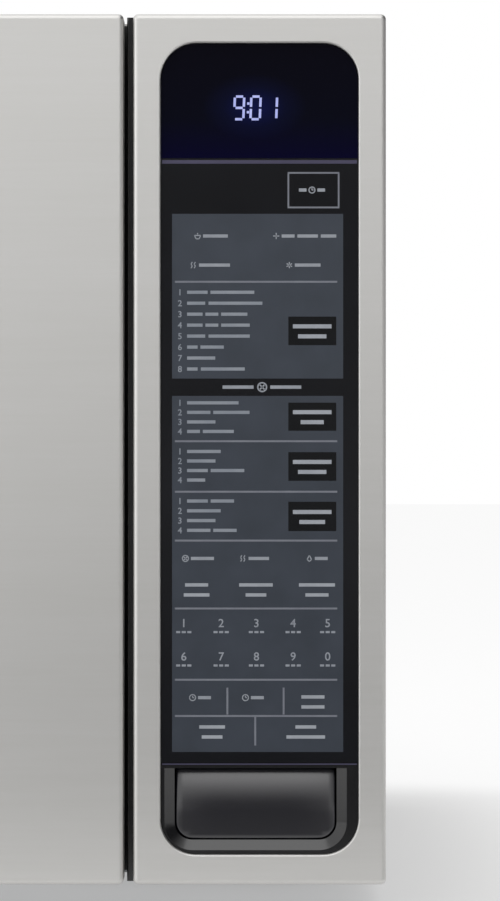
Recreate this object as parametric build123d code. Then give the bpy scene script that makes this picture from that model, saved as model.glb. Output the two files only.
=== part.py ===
# A countertop microwave oven with convection: stainless front, touch key panel on the right,
# a side-hung door on the left and a push button that opens it.
# Millimetres. The front faces -Y, the floor is z = 0, and the origin is the middle of the footprint.

import os
from math import atan, cos, degrees, pi, sin

from build123d import *

# Overall size
overall_width = 625
overall_depth = 511
overall_height = 378
foot_height = 13

# Front of the oven
panel_width = 106
door_panel_gap = 4
door_thickness = 36
door_back_gap = 3
skin_sheet = 1.2
skin_flange = 14
skin_edge_radius = 2.2
skin_inner_radius = 0.6
window_edge_radius = 0.8

# Casing
cabinet_sheet = 0.8
cabinet_corner = 6
rear_flange = 14
base_sheet = 1.0
base_lift = 1.0
base_flange = 12
foot_radius = 14
front_foot_inset = 91
rear_foot_inset = 42
side_foot_inset = 42
gland_reach = 4.8
gland_bore_radius = 4
screw_radius = 1.75
screw_hole_radius = 2.0
screw_head_radius = 3.6
screw_head_height = 2.0
screw_length = 10

# Cavity, measured from what stands round it
plate_sheet = 1.0
liner_sheet = 0.8
cavity_side_margin = 52.5
cavity_floor_height = 57
cavity_roof_margin = 63
rear_bay_depth = 57
cavity_corner = 6

# Turntable
tray_clearance = 10
tray_sheet = 1.6
tray_rim_height = 11
tray_rim_width = 16
tray_gap = 0.7
roller_radius = 9
roller_width = 7
roller_circle_radius = 125
roller_pin_radius = 1.5
stay_arm_width = 8
stay_arm_height = 6
stay_hub_radius = 20
coupling_radius = 12
coupling_shaft_radius = 3
motor_radius = 25
motor_height = 16

# Door
door_window_margin = 15
door_glass_lap = 10
door_glass_thickness = 4
inner_frame_wall = 2
screen_sheet = 0.6
choke_cover_thickness = 1.6
choke_cover_margin = 32
hinge_inset = 7
hinge_depth = 10
hinge_pin_radius = 3
hinge_pin_length = 14
hinge_tab = 2.5
hinge_tab_half_width = 6.5

# Door latch and its button
hook_width = 14
hook_inset = 14.5
hook_reach = 33
hook_height = 10
nose_length = 9
nose_depth = 4
latch_lift = 5
lower_hook_height = 60.4
upper_hook_drop = 88
button_stroke = 5
lever_arm = 20
lever_shaft_radius = 3
lever_tip_radius = 3
lever_arm_thickness = 3.6
push_rod_width = 8

# Control panel
window_margin = 11.5
window_bottom_margin = 12.6
window_top_margin = 12.2
window_radius = 15
panel_recess = 2.5
fascia_thickness = 1.5
lens_height = 48.2
lens_gap = 2.5
button_zone_height = 38.3
button_left_margin = 6.2
button_right_margin = 9.5
clock_side_margin = 8.5
button_height = 29.4
button_bottom_margin = 6.3
button_corner = 7
button_recess = 2.0
recess_slope = 4.2
button_crest = 10.5
button_crown_radius = 60
button_wall = 6.6
button_skirt = 13
housing_wall = 2.5
spring_radius = 5
spring_wire = 1

# Clearances
running_clearance = 0.05
shaft_fit = 0.02
hook_swing_clearance = 2
sliding_clearance = 0.4
touch_clearance = 0.3
gap_rib_clearance = 1
seat_clearance = 0.2

# Faces and middles that the pieces share
left = -overall_width / 2
right = overall_width / 2
front = -overall_depth / 2
back = overall_depth / 2 - gland_reach + cabinet_sheet
body_bottom = foot_height
top = overall_height

panel_left = right - panel_width
door_right = panel_left - door_panel_gap
door_back = front + door_thickness
plate_front = door_back + door_back_gap
plate_back = plate_front + plate_sheet

inside_left = left + cabinet_sheet
inside_right = right - cabinet_sheet
inside_top = top - cabinet_sheet
base_bottom = body_bottom + base_lift
base_top = base_bottom + base_sheet
rear_outer = back - cabinet_sheet
rear_inner = rear_outer - cabinet_sheet

cavity_left = left + cavity_side_margin
cavity_right = door_right - cavity_side_margin
cavity_floor = body_bottom + cavity_floor_height
cavity_roof = top - cavity_roof_margin
cavity_back = rear_inner - rear_bay_depth
cavity_x = (cavity_left + cavity_right) / 2
cavity_y = (plate_back + cavity_back) / 2
cavity_z = (cavity_floor + cavity_roof) / 2
liner_right = cavity_right + liner_sheet
liner_left = cavity_left - liner_sheet
liner_back = cavity_back + liner_sheet
liner_bottom = cavity_floor - liner_sheet
liner_top = cavity_roof + liner_sheet

tray_radius = min(cavity_right - cavity_left, cavity_back - plate_back) / 2 - tray_clearance
tray_height = 2 * roller_radius + touch_clearance + tray_gap
tray_bottom = cavity_floor + tray_height
roller_z = cavity_floor + roller_radius + touch_clearance

hinge_x = left + hinge_inset
hinge_y = door_back - hinge_depth
hook_x = door_right - hook_inset
hook_tip = door_back + hook_reach
nose_front = hook_tip - nose_length
lower_hook_z = body_bottom + lower_hook_height
upper_hook_z = top - upper_hook_drop
skin_back = front + skin_sheet

panel_x = (panel_left + right) / 2
window_x = (panel_left + window_margin, right - window_margin)
window_z = (body_bottom + window_bottom_margin, top - window_top_margin)
fascia_front = front + panel_recess
fascia_back = fascia_front + fascia_thickness
lens_bottom = window_z[1] - lens_height
button_zone_top = window_z[0] + button_zone_height
button_x = (window_x[0] + button_left_margin, window_x[1] - button_right_margin)
button_axis_x = (button_x[0] + button_x[1]) / 2
clock_x = (window_x[0] + clock_side_margin, window_x[1] - clock_side_margin)
button_z = (window_z[0] + button_bottom_margin, window_z[0] + button_bottom_margin + button_height)
button_middle = (button_z[0] + button_z[1]) / 2
button_face = fascia_front + button_recess
button_back = button_face + button_wall
spring_seat = button_back + button_skirt + button_stroke + 4
lever_y = plate_back + 7.5
lever_z = lower_hook_z - touch_clearance - lever_tip_radius
push_z = lever_z - lever_arm
push_x = (panel_left + 19.5, panel_left + 19.5 + push_rod_width)
board_y = fascia_back + housing_wall + 13


def block(x, y, z):
    """A box between two faces along each axis."""
    size = [b - a for a, b in (x, y, z)]
    middle = [(a + b) / 2 for a, b in (x, y, z)]
    return Pos(*middle) * Box(*size)


def rod(axis, start, length, radius):
    """A round bar from its start point along +X, +Y or +Z."""
    turn = {"x": (0, 90, 0), "y": (-90, 0, 0), "z": (0, 0, 0)}[axis]
    bar = Cylinder(radius, length, align=(Align.CENTER, Align.CENTER, Align.MIN))
    return Pos(*start) * Rot(*turn) * bar


def front_plate(x, y, z, corner):
    """A plate that faces the front, with round corners."""
    face = RectangleRounded(x[1] - x[0], z[1] - z[0], corner)
    place = Plane(origin=((x[0] + x[1]) / 2, y[1], (z[0] + z[1]) / 2), x_dir=(1, 0, 0), z_dir=(0, -1, 0))
    return extrude(place * face, y[1] - y[0])


def grown(span, amount):
    """A span made longer by the same amount at both ends."""
    return (span[0] - amount, span[1] + amount)


def around(middle, size):
    """A span of a given size about its middle."""
    return (middle - size / 2, middle + size / 2)


def steps(first, last, pitch):
    """Places at a steady pitch, centred between two limits."""
    count = int((last - first) / pitch) + 1
    spare = (last - first - (count - 1) * pitch) / 2
    return [first + spare + i * pitch for i in range(count)]


# Casing

def cabinet_form(y, inset):
    """The cabinet's section between two depths, drawn in at the top and sides."""
    form = block(grown((left, right), -inset), y, (body_bottom, top - inset))
    return fillet(form.edges().filter_by(Axis.Y).group_by(Axis.Z)[-1], cabinet_corner - inset)


def sheet_across(y):
    """A flat sheet that fills the cabinet's section, standing on the base plate."""
    return cabinet_form(y, cabinet_sheet) & block((inside_left, inside_right), y, (base_top, inside_top))


def screw_places():
    """Middles of the screws in the cabinet's rear flange, as x and z."""
    edge = rear_flange / 2
    top_row = [(x, top - edge) for x in (left + 60, 0, right - 60)]
    sides = [(x, z) for x in (left + edge, right - edge) for z in (body_bottom + 60, top - 90)]
    return top_row + sides


def screw_holes():
    start = rear_inner - cabinet_sheet
    return [rod("y", (x, start, z), 4 * cabinet_sheet, screw_hole_radius) for x, z in screw_places()]


def side_louvres(x, y_places, z_places, slot=(3, 20)):
    """Upright slots punched through one side of the cabinet."""
    span = around(x, 4)
    return [block(span, around(y, slot[0]), around(z, slot[1])) for y in y_places for z in z_places]


def cabinet_wrap():
    """Top and sides in one folded sheet, with a rear flange and slots for the cooling air."""
    skin = cabinet_form((plate_front, back), 0) - cabinet_form((plate_front, back), cabinet_sheet)
    rim = cabinet_form((back - cabinet_sheet, back), 0)
    rim -= block(grown((left, right), -rear_flange), grown((back, back), 3), (body_bottom, top - rear_flange))
    inlet = side_louvres(right, steps(plate_back + 90, cavity_back - 60, 8), (top - 70, top - 98, top - 126))
    outlet = side_louvres(left, steps(cavity_y, cavity_back - 10, 8), (body_bottom + 40, body_bottom + 68))
    return skin + rim - screw_holes() - inlet - outlet


def base_plate():
    """Folded floor of the casing, with air slots."""
    floor = block((inside_left, inside_right), (plate_front, rear_outer), (base_bottom, base_top))
    flange_y = (plate_back, rear_inner)
    flange_z = (base_top, base_top + base_flange)
    for x in (inside_left, inside_right - base_sheet):
        floor += block((x, x + base_sheet), flange_y, flange_z)
    through = grown((base_bottom, base_top), 1)
    vents = [block(around(x, 4), (plate_back + 70, plate_back + 100), through)
             for x in steps(cavity_right + 30, inside_right - 40, 9)]
    vents += [block(around(x, 4), (cavity_back - 60, cavity_back - 20), through)
              for x in steps(cavity_left + 20, cavity_left + 110, 9)]
    return floor - vents


def foot_places():
    x = overall_width / 2 - side_foot_inset
    y = (plate_back + front_foot_inset, rear_inner - rear_foot_inset)
    return [(-x, y[0]), (x, y[0]), (-x, y[1]), (x, y[1])]


def feet():
    """Four moulded feet, each with a hollow for its screw."""
    form = Cone(foot_radius - 2, foot_radius, base_bottom, align=(Align.CENTER, Align.CENTER, Align.MIN))
    form = fillet(form.edges().group_by(Axis.Z)[0], 1.5)
    form -= Cylinder(4, 5, align=(Align.CENTER, Align.CENTER, Align.MIN))
    return [Pos(x, y, 0) * form for x, y in foot_places()]


gland_x = inside_right - 45
gland_z = base_top + 40


def rear_panel():
    """Flat back with an air inlet behind the cooling fan and an outlet on the other side."""
    panel = sheet_across((rear_inner, rear_outer))
    holes = []
    for z in steps(fan_z - fan_radius, fan_z + fan_radius, 8):
        for x in (fan_x - 33, fan_x, fan_x + 33):
            holes.append(block(around(x, 26), grown((rear_inner, rear_outer), 1), around(z, 3.2)))
    for z in steps(cavity_roof - 60, cavity_roof + 20, 8):
        for x in (inside_left + 50, inside_left + 83, inside_left + 116):
            holes.append(block(around(x, 26), grown((rear_inner, rear_outer), 1), around(z, 3.2)))
    holes.append(rod("y", (gland_x, rear_inner - 1, gland_z), 4, 8))
    return panel - screw_holes() - holes


def cord_gland():
    """Snap-in bush that the mains cord would leave by."""
    bush = rod("y", (gland_x, rear_inner - 7, gland_z), rear_outer - rear_inner + 7, 8 - running_clearance)
    bush += rod("y", (gland_x, rear_inner - 3, gland_z), 3, 9.5)
    collar = Cone(11, 8.5, gland_reach, align=(Align.CENTER, Align.CENTER, Align.MIN))
    bush += Pos(gland_x, rear_outer, gland_z) * Rot(-90, 0, 0) * collar
    return bush - rod("y", (gland_x, rear_inner - 8, gland_z), 20, gland_bore_radius)


def cabinet_screws():
    screws = []
    for x, z in screw_places():
        shank = rod("y", (x, back - screw_length, z), screw_length, screw_radius)
        head = rod("y", (x, back, z), screw_head_height, screw_head_radius)
        head = fillet(head.edges().group_by(Axis.Y)[-1], 0.9)
        slot = block(around(x, 1.1), (back + 1, back + 3), around(z, 5))
        screws.append(shank + head - slot - Pos(x, 0, z) * Rot(0, 90, 0) * Pos(-x, 0, -z) * slot)
    return screws


# Cavity

port_y = around(plate_back + 175, 62)
port_z = (cavity_roof - 88, cavity_roof - 22)
waveguide_y = (port_y[0] - 14, port_y[1] + 44)
waveguide_z = (port_z[0] - 8, port_z[1] + 8)
waveguide_x = (liner_right, liner_right + 38)
lamp_y = port_y[1] + 86
lamp_z = cavity_roof - 42


def latch_slots(y, width, spare):
    """Openings that the two hooks reach through, with room to lift."""
    holes = []
    for z in (lower_hook_z, upper_hook_z):
        span = (z - spare, z + nose_depth + hook_height + latch_lift + spare)
        holes.append(block(around(hook_x, width), y, span))
    return holes


def cavity_front_plate():
    """Sheet that the door closes against, with the cavity mouth and the panel's bay cut out."""
    through = grown((plate_front, plate_back), 1)
    plate = sheet_across((plate_front, plate_back))
    plate -= front_plate((cavity_left, cavity_right), through, (cavity_floor, cavity_roof), cavity_corner)
    bay_z = (base_top + 10, inside_top - 10)
    plate -= block((panel_left + 6, inside_right - 8), through, bay_z)
    for z in (top - 7, body_bottom + 7):
        plate -= block(around(hinge_x, 2 * hinge_tab_half_width + 2), through, around(z, hinge_tab + 5))
    return plate - latch_slots(through, hook_width + 2 * hook_swing_clearance, 1)


def fan_intake_holes():
    """Rings of round holes in the middle of the rear wall, in front of the convection fan."""
    holes = [rod("y", (cavity_x, cavity_back - 1, cavity_z), 3, 3)]
    pitch = 13
    for ring in range(1, int((convection_fan_radius - 3) / pitch) + 1):
        for i in range(6 * ring):
            turn = 2 * pi * i / (6 * ring)
            x = cavity_x + pitch * ring * cos(turn)
            z = cavity_z + pitch * ring * sin(turn)
            holes.append(rod("y", (x, cavity_back - 1, z), 3, 3))
    return holes


def hot_air_slots():
    """Slots at both sides of the rear wall that blow the hot air in."""
    through = (cavity_back - 1, liner_back + 1)
    slots = []
    for side in (-1, 1):
        for column in (0, 1):
            x = cavity_x + side * (duct_width / 2 - 16 - 22 * column)
            for z in steps(duct_z[0] + 35, duct_z[1] - 35, 9):
                slots.append(block(around(x, 16), through, around(z, 3.5)))
    return slots


def cavity_liner():
    """Cooking box, open to the front."""
    outer = front_plate((liner_left, liner_right), (plate_back, liner_back), (liner_bottom, liner_top),
                        cavity_corner + liner_sheet)
    inner = front_plate((cavity_left, cavity_right), (plate_back, cavity_back), (cavity_floor, cavity_roof),
                        cavity_corner)
    liner = outer - inner
    wall = grown((cavity_right, liner_right), 1)
    holes = [rod("z", (cavity_x, cavity_y, liner_bottom - 1), 4, coupling_shaft_radius + 3)]
    holes.append(block(wall, port_y, port_z))
    for y in steps(lamp_y - 14, lamp_y + 14, 7):
        for z in steps(lamp_z - 14, lamp_z + 14, 7):
            holes.append(rod("x", (cavity_right - 1, y, z), 4, 2))
    for y in steps(plate_back + 40, plate_back + 110, 9):
        for z in (cavity_roof - 24, cavity_roof - 34, cavity_roof - 44):
            holes.append(rod("x", (liner_left - 1, y, z), 4, 2.5))
    return liner - holes - fan_intake_holes() - hot_air_slots()


def waveguide_cover():
    """Mica sheet over the waveguide port, inside the cavity."""
    sheet = block((cavity_right - 0.8, cavity_right), grown(port_y, 7), grown(port_z, 7))
    return fillet(sheet.edges().filter_by(Axis.X), 5)


def waveguide():
    """Sheet-metal box that leads the microwaves from the magnetron to the port."""
    box = block(waveguide_x, waveguide_y, waveguide_z)
    hollow = (waveguide_x[0], waveguide_x[1] - 1)
    box -= block(hollow, grown(waveguide_y, -1), grown(waveguide_z, -1))
    flange_x = (waveguide_x[0], waveguide_x[0] + 1)
    flange = block(flange_x, grown(waveguide_y, 7), waveguide_z)
    flange -= block(grown(flange_x, 1), grown(waveguide_y, -1), grown(waveguide_z, -1))
    return box + flange - rod("x", (waveguide_x[1] - 2, magnetron_y, magnetron_z), 4, 9)


def lamp_housing():
    """Cover that holds the lamp against the cavity's perforated wall."""
    x = (liner_right, liner_right + 36)
    box = block(x, around(lamp_y, 44), around(lamp_z, 44))
    box -= block((x[0], x[1] - 1.5), around(lamp_y, 41), around(lamp_z, 41))
    return box - rod("x", (x[1] - 3, lamp_y, lamp_z), 6, 7)


def cavity_lamp():
    """Small bulb and its cap, pushed into the housing from outside."""
    cap = rod("x", (liner_right + 20, lamp_y, lamp_z), 26, 7 - running_clearance)
    cap += rod("x", (liner_right + 36, lamp_y, lamp_z), 3, 10)
    bulb = rod("x", (liner_right + 4, lamp_y, lamp_z), 16, 9)
    return [cap, fillet(bulb.edges().group_by(Axis.X)[0], 7)]


# Turntable

def turntable_motor():
    """Flat synchronous motor under the cavity floor."""
    motor = rod("z", (cavity_x, cavity_y, liner_bottom - motor_height), motor_height, motor_radius)
    ear_z = (liner_bottom - 1, liner_bottom)
    ear = block(around(cavity_x, 2 * motor_radius + 20), around(cavity_y, 12), ear_z)
    motor += ear + block(around(cavity_x, 16), (cavity_y, cavity_y + motor_radius + 9),
                         (liner_bottom - 12, liner_bottom - 3))
    bore = coupling_shaft_radius + running_clearance
    return motor - rod("z", (cavity_x, cavity_y, liner_bottom - 10), 12, bore)


def coupling_lobes(radius, z, height):
    """Three-lobed driver shape about the turntable's axis."""
    shape = rod("z", (cavity_x, cavity_y, z), height, radius * 0.6)
    for turn in (0, 120, 240):
        lobe = Rot(0, 0, turn) * Pos(radius * 0.62, 0, 0) * Cylinder(
            radius * 0.38, height, align=(Align.CENTER, Align.CENTER, Align.MIN))
        shape += Pos(cavity_x, cavity_y, z) * lobe
    return shape


def motor_coupling():
    """Driver on the motor's shaft, in the cavity floor."""
    shaft = rod("z", (cavity_x, cavity_y, liner_bottom - 9), 9 + liner_sheet + 2, coupling_shaft_radius)
    collar = rod("z", (cavity_x, cavity_y, cavity_floor + 1), 3, coupling_radius)
    return shaft + collar + coupling_lobes(coupling_radius, cavity_floor + 4, tray_height - 6)


def roller_stay():
    """Three arms on a hub that drops over the coupling; pads on the arms carry the tray."""
    hub_z = cavity_floor + 4 + touch_clearance
    hub = rod("z", (cavity_x, cavity_y, hub_z), tray_bottom - hub_z, stay_hub_radius)
    hub -= coupling_lobes(coupling_radius + 0.6, hub_z - 1, tray_height)
    arm_end = roller_circle_radius - roller_width / 2 - 1
    for turn in (90, 210, 330):
        arm = block((stay_hub_radius - 2, arm_end), around(0, stay_arm_width), around(0, stay_arm_height))
        pad = block((arm_end - 22, arm_end - 6), around(0, stay_arm_width), (0, tray_bottom - roller_z))
        pin = rod("x", (arm_end - 2, 0, 0), roller_width + 5, roller_pin_radius)
        cap = rod("x", (roller_circle_radius + roller_width / 2 + 0.5, 0, 0), 1.5, roller_pin_radius + 1.2)
        hub += Pos(cavity_x, cavity_y, roller_z) * Rot(0, 0, turn) * (arm + pad + pin + cap)
    return hub


def roller(turn):
    """One wheel of the stay, its axle pointing away from the turntable's axis."""
    wheel = rod("x", (roller_circle_radius - roller_width / 2, 0, 0), roller_width, roller_radius)
    wheel = fillet(wheel.edges(), 1)
    wheel -= rod("x", (roller_circle_radius - roller_width, 0, 0), 2 * roller_width,
                 roller_pin_radius + running_clearance)
    return Pos(cavity_x, cavity_y, roller_z) * Rot(0, 0, turn) * wheel


def turntable_tray():
    """Round enamelled tray with a raised, sloping rim."""
    r = tray_radius
    rim = tray_rim_width
    lip = tray_rim_height - tray_sheet
    outline = Polyline((0, 0), (r - rim, 0), (r - 2, lip), (r, lip), (r, tray_rim_height),
                       (r - 3, tray_rim_height), (r - rim - 1, tray_sheet), (0, tray_sheet), close=True)
    plate = revolve(Plane.XZ * make_face(outline), Axis.Z)
    return Pos(cavity_x, cavity_y, tray_bottom) * plate


# Microwave source

magnetron_y = waveguide_y[1] - 36
magnetron_z = (waveguide_z[0] + waveguide_z[1]) / 2
magnetron_x = waveguide_x[1]


def magnetron():
    """Tube with its cooling fins, the yoke round it, the aerial and the filter box."""
    y = around(magnetron_y, 74)
    z = around(magnetron_z, 66)
    x = magnetron_x
    yoke = block((x, x + 48), y, z) - block((x + 2, x + 46), grown(y, 1), grown(z, -1.5))
    yoke -= rod("x", (x - 1, magnetron_y, magnetron_z), 4, 12)
    yoke -= rod("x", (x + 44, magnetron_y, magnetron_z), 4, 12)
    tube = rod("x", (x + 2, magnetron_y, magnetron_z), 44, 18)
    for i in range(8):
        fin_x = x + 5 + 5 * i
        tube += block((fin_x, fin_x + 0.8), grown(y, -4), grown(z, -1.5))
    aerial = rod("x", (x - 24, magnetron_y, magnetron_z), 26, 7.5)
    box = block((x + 48, x + 78), around(magnetron_y, 58), around(magnetron_z, 46))
    box = fillet(box.edges().filter_by(Axis.X), 4)
    plug = block((x + 54, x + 70), (magnetron_y + 29, magnetron_y + 39), around(magnetron_z, 26))
    return [yoke, tube, aerial, box, plug]


def thermal_cutout(x, y, z):
    """Small snap-disc switch with its back on a face that looks along -Y."""
    body = rod("y", (x, y - 8, z), 8, 8) + block(around(x, 24), (y - 1, y), around(z, 9))
    for tab_x in ((x - 5, x - 4), (x + 4, x + 5)):
        body += block(tab_x, (y - 16, y - 8), around(z, 6))
    return body


def magnetron_cutout():
    """Switch on the magnetron's yoke that trips when it runs too hot."""
    return thermal_cutout(magnetron_x + 24, magnetron_y - 33, magnetron_z + 22)


transformer_x = around(liner_right + 86, 62)
transformer_y = (plate_back + 150, plate_back + 242)
transformer_z = (base_top + 2, base_top + 76)


def high_voltage_transformer():
    """Laminated core on a foot plate, with a low and a high voltage winding."""
    foot = block(grown(transformer_x, 14), grown(transformer_y, 4), (base_top, transformer_z[0]))
    core = block(transformer_x, transformer_y, transformer_z)
    window_y = (transformer_y[0] + 16, transformer_y[1] - 16)
    leg = around((transformer_z[0] + transformer_z[1]) / 2, 26)
    low_slot = (transformer_z[0] + 12, leg[0])
    high_slot = (leg[1], transformer_z[1] - 12)
    for slot in (low_slot, high_slot):
        core -= block(grown(transformer_x, 1), window_y, slot)
    coils = []
    for y in ((window_y[0], window_y[0] + 26), (window_y[1] - 26, window_y[1])):
        coil = block(grown(transformer_x, 15), y, (low_slot[0], high_slot[1]))
        coil = fillet(coil.edges().filter_by(Axis.Y), 8)
        coils.append(coil - block(transformer_x, grown(y, 1), leg))
    return [foot, core] + coils


capacitor_y = (transformer_y[1] + 22, transformer_y[1] + 106)
capacitor_x = liner_right + 34


def high_voltage_capacitor():
    """Oval can lying on the base plate, with two tabs at its front end."""
    can = block(around(capacitor_x, 32), capacitor_y, (base_top + 3, base_top + 55))
    can = fillet(can.edges().filter_by(Axis.Y), 15.5)
    strap = block(around(capacitor_x, 38), around(capacitor_y[0] + 42, 12), (base_top, base_top + 58))
    strap -= can
    tab_y = (capacitor_y[0] - 10, capacitor_y[0])
    tabs = [block(around(capacitor_x, 6), tab_y, (base_top + z, base_top + z + 1)) for z in (18, 40)]
    return [can, strap] + tabs


def high_voltage_diode():
    """Rectifier from a capacitor tab to the casing, with its ring terminal on the base plate."""
    x = capacitor_x + 25
    body = rod("y", (x, capacitor_y[0] + 8, base_top + 8), 20, 4)
    lead = rod("y", (x, capacitor_y[0] - 8, base_top + 8), 16, 0.7)
    tail = rod("y", (x, capacitor_y[0] + 28, base_top + 8), 9, 0.7)
    tail += rod("z", (x, capacitor_y[0] + 36.5, base_top), 8.7, 0.9)
    ring = rod("z", (x, capacitor_y[0] + 36.5, base_top), 1, 4)
    saddle = block(around(x, 10), around(capacitor_y[0] + 18, 6), (base_top, base_top + 8))
    saddle -= rod("y", (x, capacitor_y[0], base_top + 8), 40, 4)
    return [body + lead + tail + ring, saddle]


filter_x = around(liner_right + 92, 84)
filter_z = (inside_top - 78, inside_top - 16)
filter_y = rear_inner - 8


def filter_board():
    """Mains filter on posts from the rear panel: board, choke, capacitors, fuse and terminals."""
    board = block(filter_x, (filter_y - 1.6, filter_y), filter_z)
    posts = [rod("y", (x, filter_y, z), 8, 3) for x in grown(filter_x, -5) for z in grown(filter_z, -5)]
    face = filter_y - 1.6
    choke = Pos(filter_x[0] + 22, face - 8, filter_z[0] + 30) * Rot(90, 0, 0) * Torus(11, 5.5)
    choke_base = block(around(filter_x[0] + 22, 30), (face - 3, face), around(filter_z[0] + 30, 30))
    parts = [board, choke + choke_base]
    for x, width in ((filter_x[0] + 48, 10), (filter_x[0] + 62, 10)):
        parts.append(block(around(x, width), (face - 16, face), around(filter_z[0] + 22, 26)))
    fuse = rod("x", (filter_x[0] + 42, face - 5, filter_z[1] - 14), 30, 3.2)
    clips = [block(around(filter_x[0] + x, 5), (face - 9, face), around(filter_z[1] - 14, 8)) - fuse
             for x in (46, 68)]
    return parts + posts + [fuse] + clips


# Cooling fan

fan_radius = 52
fan_x = (liner_right + inside_right) / 2
fan_shaft_radius = 2.5
motor_bridge_margin = 12
fan_z = base_top + 120
shroud_y = (rear_inner - 58, rear_inner - 56)
shroud_ring_depth = 26


def pitched_blades(hub, reach, chord, count, pitch):
    """Flat pitched blades about the Y axis, cut round at their tips."""
    blades = []
    for i in range(count):
        blade = Rot(0, 360 / count * i, 0) * Pos((hub + reach) / 2, 0, 0) * Rot(pitch, 0, 0) * Box(
            reach - hub + 6, 1.4, chord)
        blades.append(blade & rod("y", (0, -chord, 0), 2 * chord, reach))
    return blades


def cooling_fan():
    """Five-bladed moulded fan on a thin steel shaft."""
    wheel = rod("y", (0, -11, 0), 22, 14)
    for blade in pitched_blades(12, fan_radius, 34, 5, 40):
        wheel += blade
    wheel -= rod("y", (0, -12, 0), 24, fan_shaft_radius + shaft_fit)
    shaft = rod("y", (0, -52, 0), 62, fan_shaft_radius)
    middle = (fan_x, shroud_y[0] + 14, fan_z)
    return [Pos(*middle) * wheel, Pos(*middle) * shaft]


def fan_shroud():
    """Air guide between the cavity, the cabinet side and the base plate, with a ring round the fan."""
    plate = block((liner_right, inside_right), shroud_y, (base_top, fan_z + 62))
    flange_z = (base_top, base_top + base_flange)
    flange_room = block((inside_right - base_sheet, inside_right), grown(shroud_y, 1), flange_z)
    ring = rod("y", (fan_x, shroud_y[0], fan_z), shroud_ring_depth, fan_radius + 5)
    hole = rod("y", (fan_x, shroud_y[0] - 1, fan_z), shroud_ring_depth + 2, fan_radius + 3)
    return plate + ring - hole - flange_room


def cooling_fan_motor():
    """Shaded-pole motor on two long screws from the shroud."""
    y = (shroud_y[0] - 42, shroud_y[0] - 24)
    core = block(around(fan_x, 62), y, around(fan_z, 50))
    core = fillet(core.edges().filter_by(Axis.Y), 3)
    core += block(around(fan_x, 24), (y[0] - 7, y[1] + 7), around(fan_z, 20))
    coil = block(around(fan_x, 34), (y[0] - 9, y[1] + 9), (fan_z - 47, fan_z - 25))
    coil = fillet(coil.edges().filter_by(Axis.X), 4)
    core -= rod("y", (fan_x, y[0] - 8, fan_z), 60, fan_shaft_radius + running_clearance)
    bridge_x = grown((liner_right, inside_right), -motor_bridge_margin)
    bridge = block(bridge_x, (y[1], y[1] + 2), around(fan_z + 21, 6))
    for x in grown(bridge_x, -4):
        bridge += rod("y", (x, y[1], fan_z + 21), shroud_y[0] - y[1], 2.5)
    return [core, coil, bridge]


# Convection unit behind the cavity

duct_width = 250
duct_margin = 27.5
duct_depth = 28
duct_corner = 12
duct_x = around(cavity_x, duct_width)
duct_z = grown((cavity_floor, cavity_roof), -duct_margin)
heater_tube = 3.3
heater_duct_gap = 15.7
heater_radius = (duct_z[1] - duct_z[0]) / 2 - heater_duct_gap - heater_tube
heater_half_gap = pi / 14
heater_ends_z = cavity_z - heater_radius * cos(heater_half_gap)
convection_fan_radius = heater_radius - heater_tube - 12.7
convection_shaft_radius = 3
heater_coil_gap = 1


def convection_duct():
    """Pan on the cavity's rear wall that holds the heater and the fan."""
    y = (liner_back, liner_back + duct_depth)
    inner_x = grown(duct_x, -liner_sheet)
    inner_z = grown(duct_z, -liner_sheet)
    pan = front_plate(duct_x, y, duct_z, duct_corner)
    pan += front_plate(grown(duct_x, 8), (y[0], y[0] + liner_sheet), grown(duct_z, 8), duct_corner)
    pan -= front_plate(inner_x, (y[0] - 1, y[1] - liner_sheet), inner_z, duct_corner - liner_sheet)
    holes = [rod("y", (cavity_x, y[1] - 2, cavity_z), 4, 6)]
    for x in heater_leg_places():
        holes.append(rod("y", (x, y[1] - 2, heater_ends_z), 4, heater_tube + 0.1))
    return pan - holes


def heater_leg_places():
    """Where the heater's two ends pass through the duct, either side of its lowest point."""
    half = heater_radius * sin(heater_half_gap)
    return (cavity_x - half, cavity_x + half)


def convection_heater():
    """Tubular element bent into an open ring, with its ends out through the duct."""
    half_gap = degrees(heater_half_gap)
    y = liner_back + 13
    ring = Torus(heater_radius, heater_tube, major_angle=360 - 2 * half_gap)
    ring = Pos(cavity_x, y, cavity_z) * Rot(90, 0, 0) * Rot(0, 0, -90 + half_gap) * ring
    for x in heater_leg_places():
        ring += Pos(x, y, heater_ends_z) * Sphere(heater_tube)
        ring += rod("y", (x, y, heater_ends_z), duct_depth - 13 + 8, heater_tube)
        ring += rod("y", (x, y + duct_depth - 5, heater_ends_z), 10, 1.2)
    return ring


def convection_fan():
    """Flat disc with straight radial blades, on the motor's shaft."""
    disc = rod("y", (0, 0, 0), 1.2, convection_fan_radius) + rod("y", (0, -6, 0), 12, 8)
    for i in range(8):
        disc += Rot(0, 45 * i, 0) * block((12, convection_fan_radius), (-12, 0.6), (-0.6, 0.6))
    disc -= rod("y", (0, -13, 0), 30, convection_shaft_radius + shaft_fit)
    shaft = rod("y", (0, -8, 0), 34, convection_shaft_radius)
    middle = (cavity_x, liner_back + 17, cavity_z)
    return [Pos(*middle) * disc, Pos(*middle) * shaft]


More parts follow.
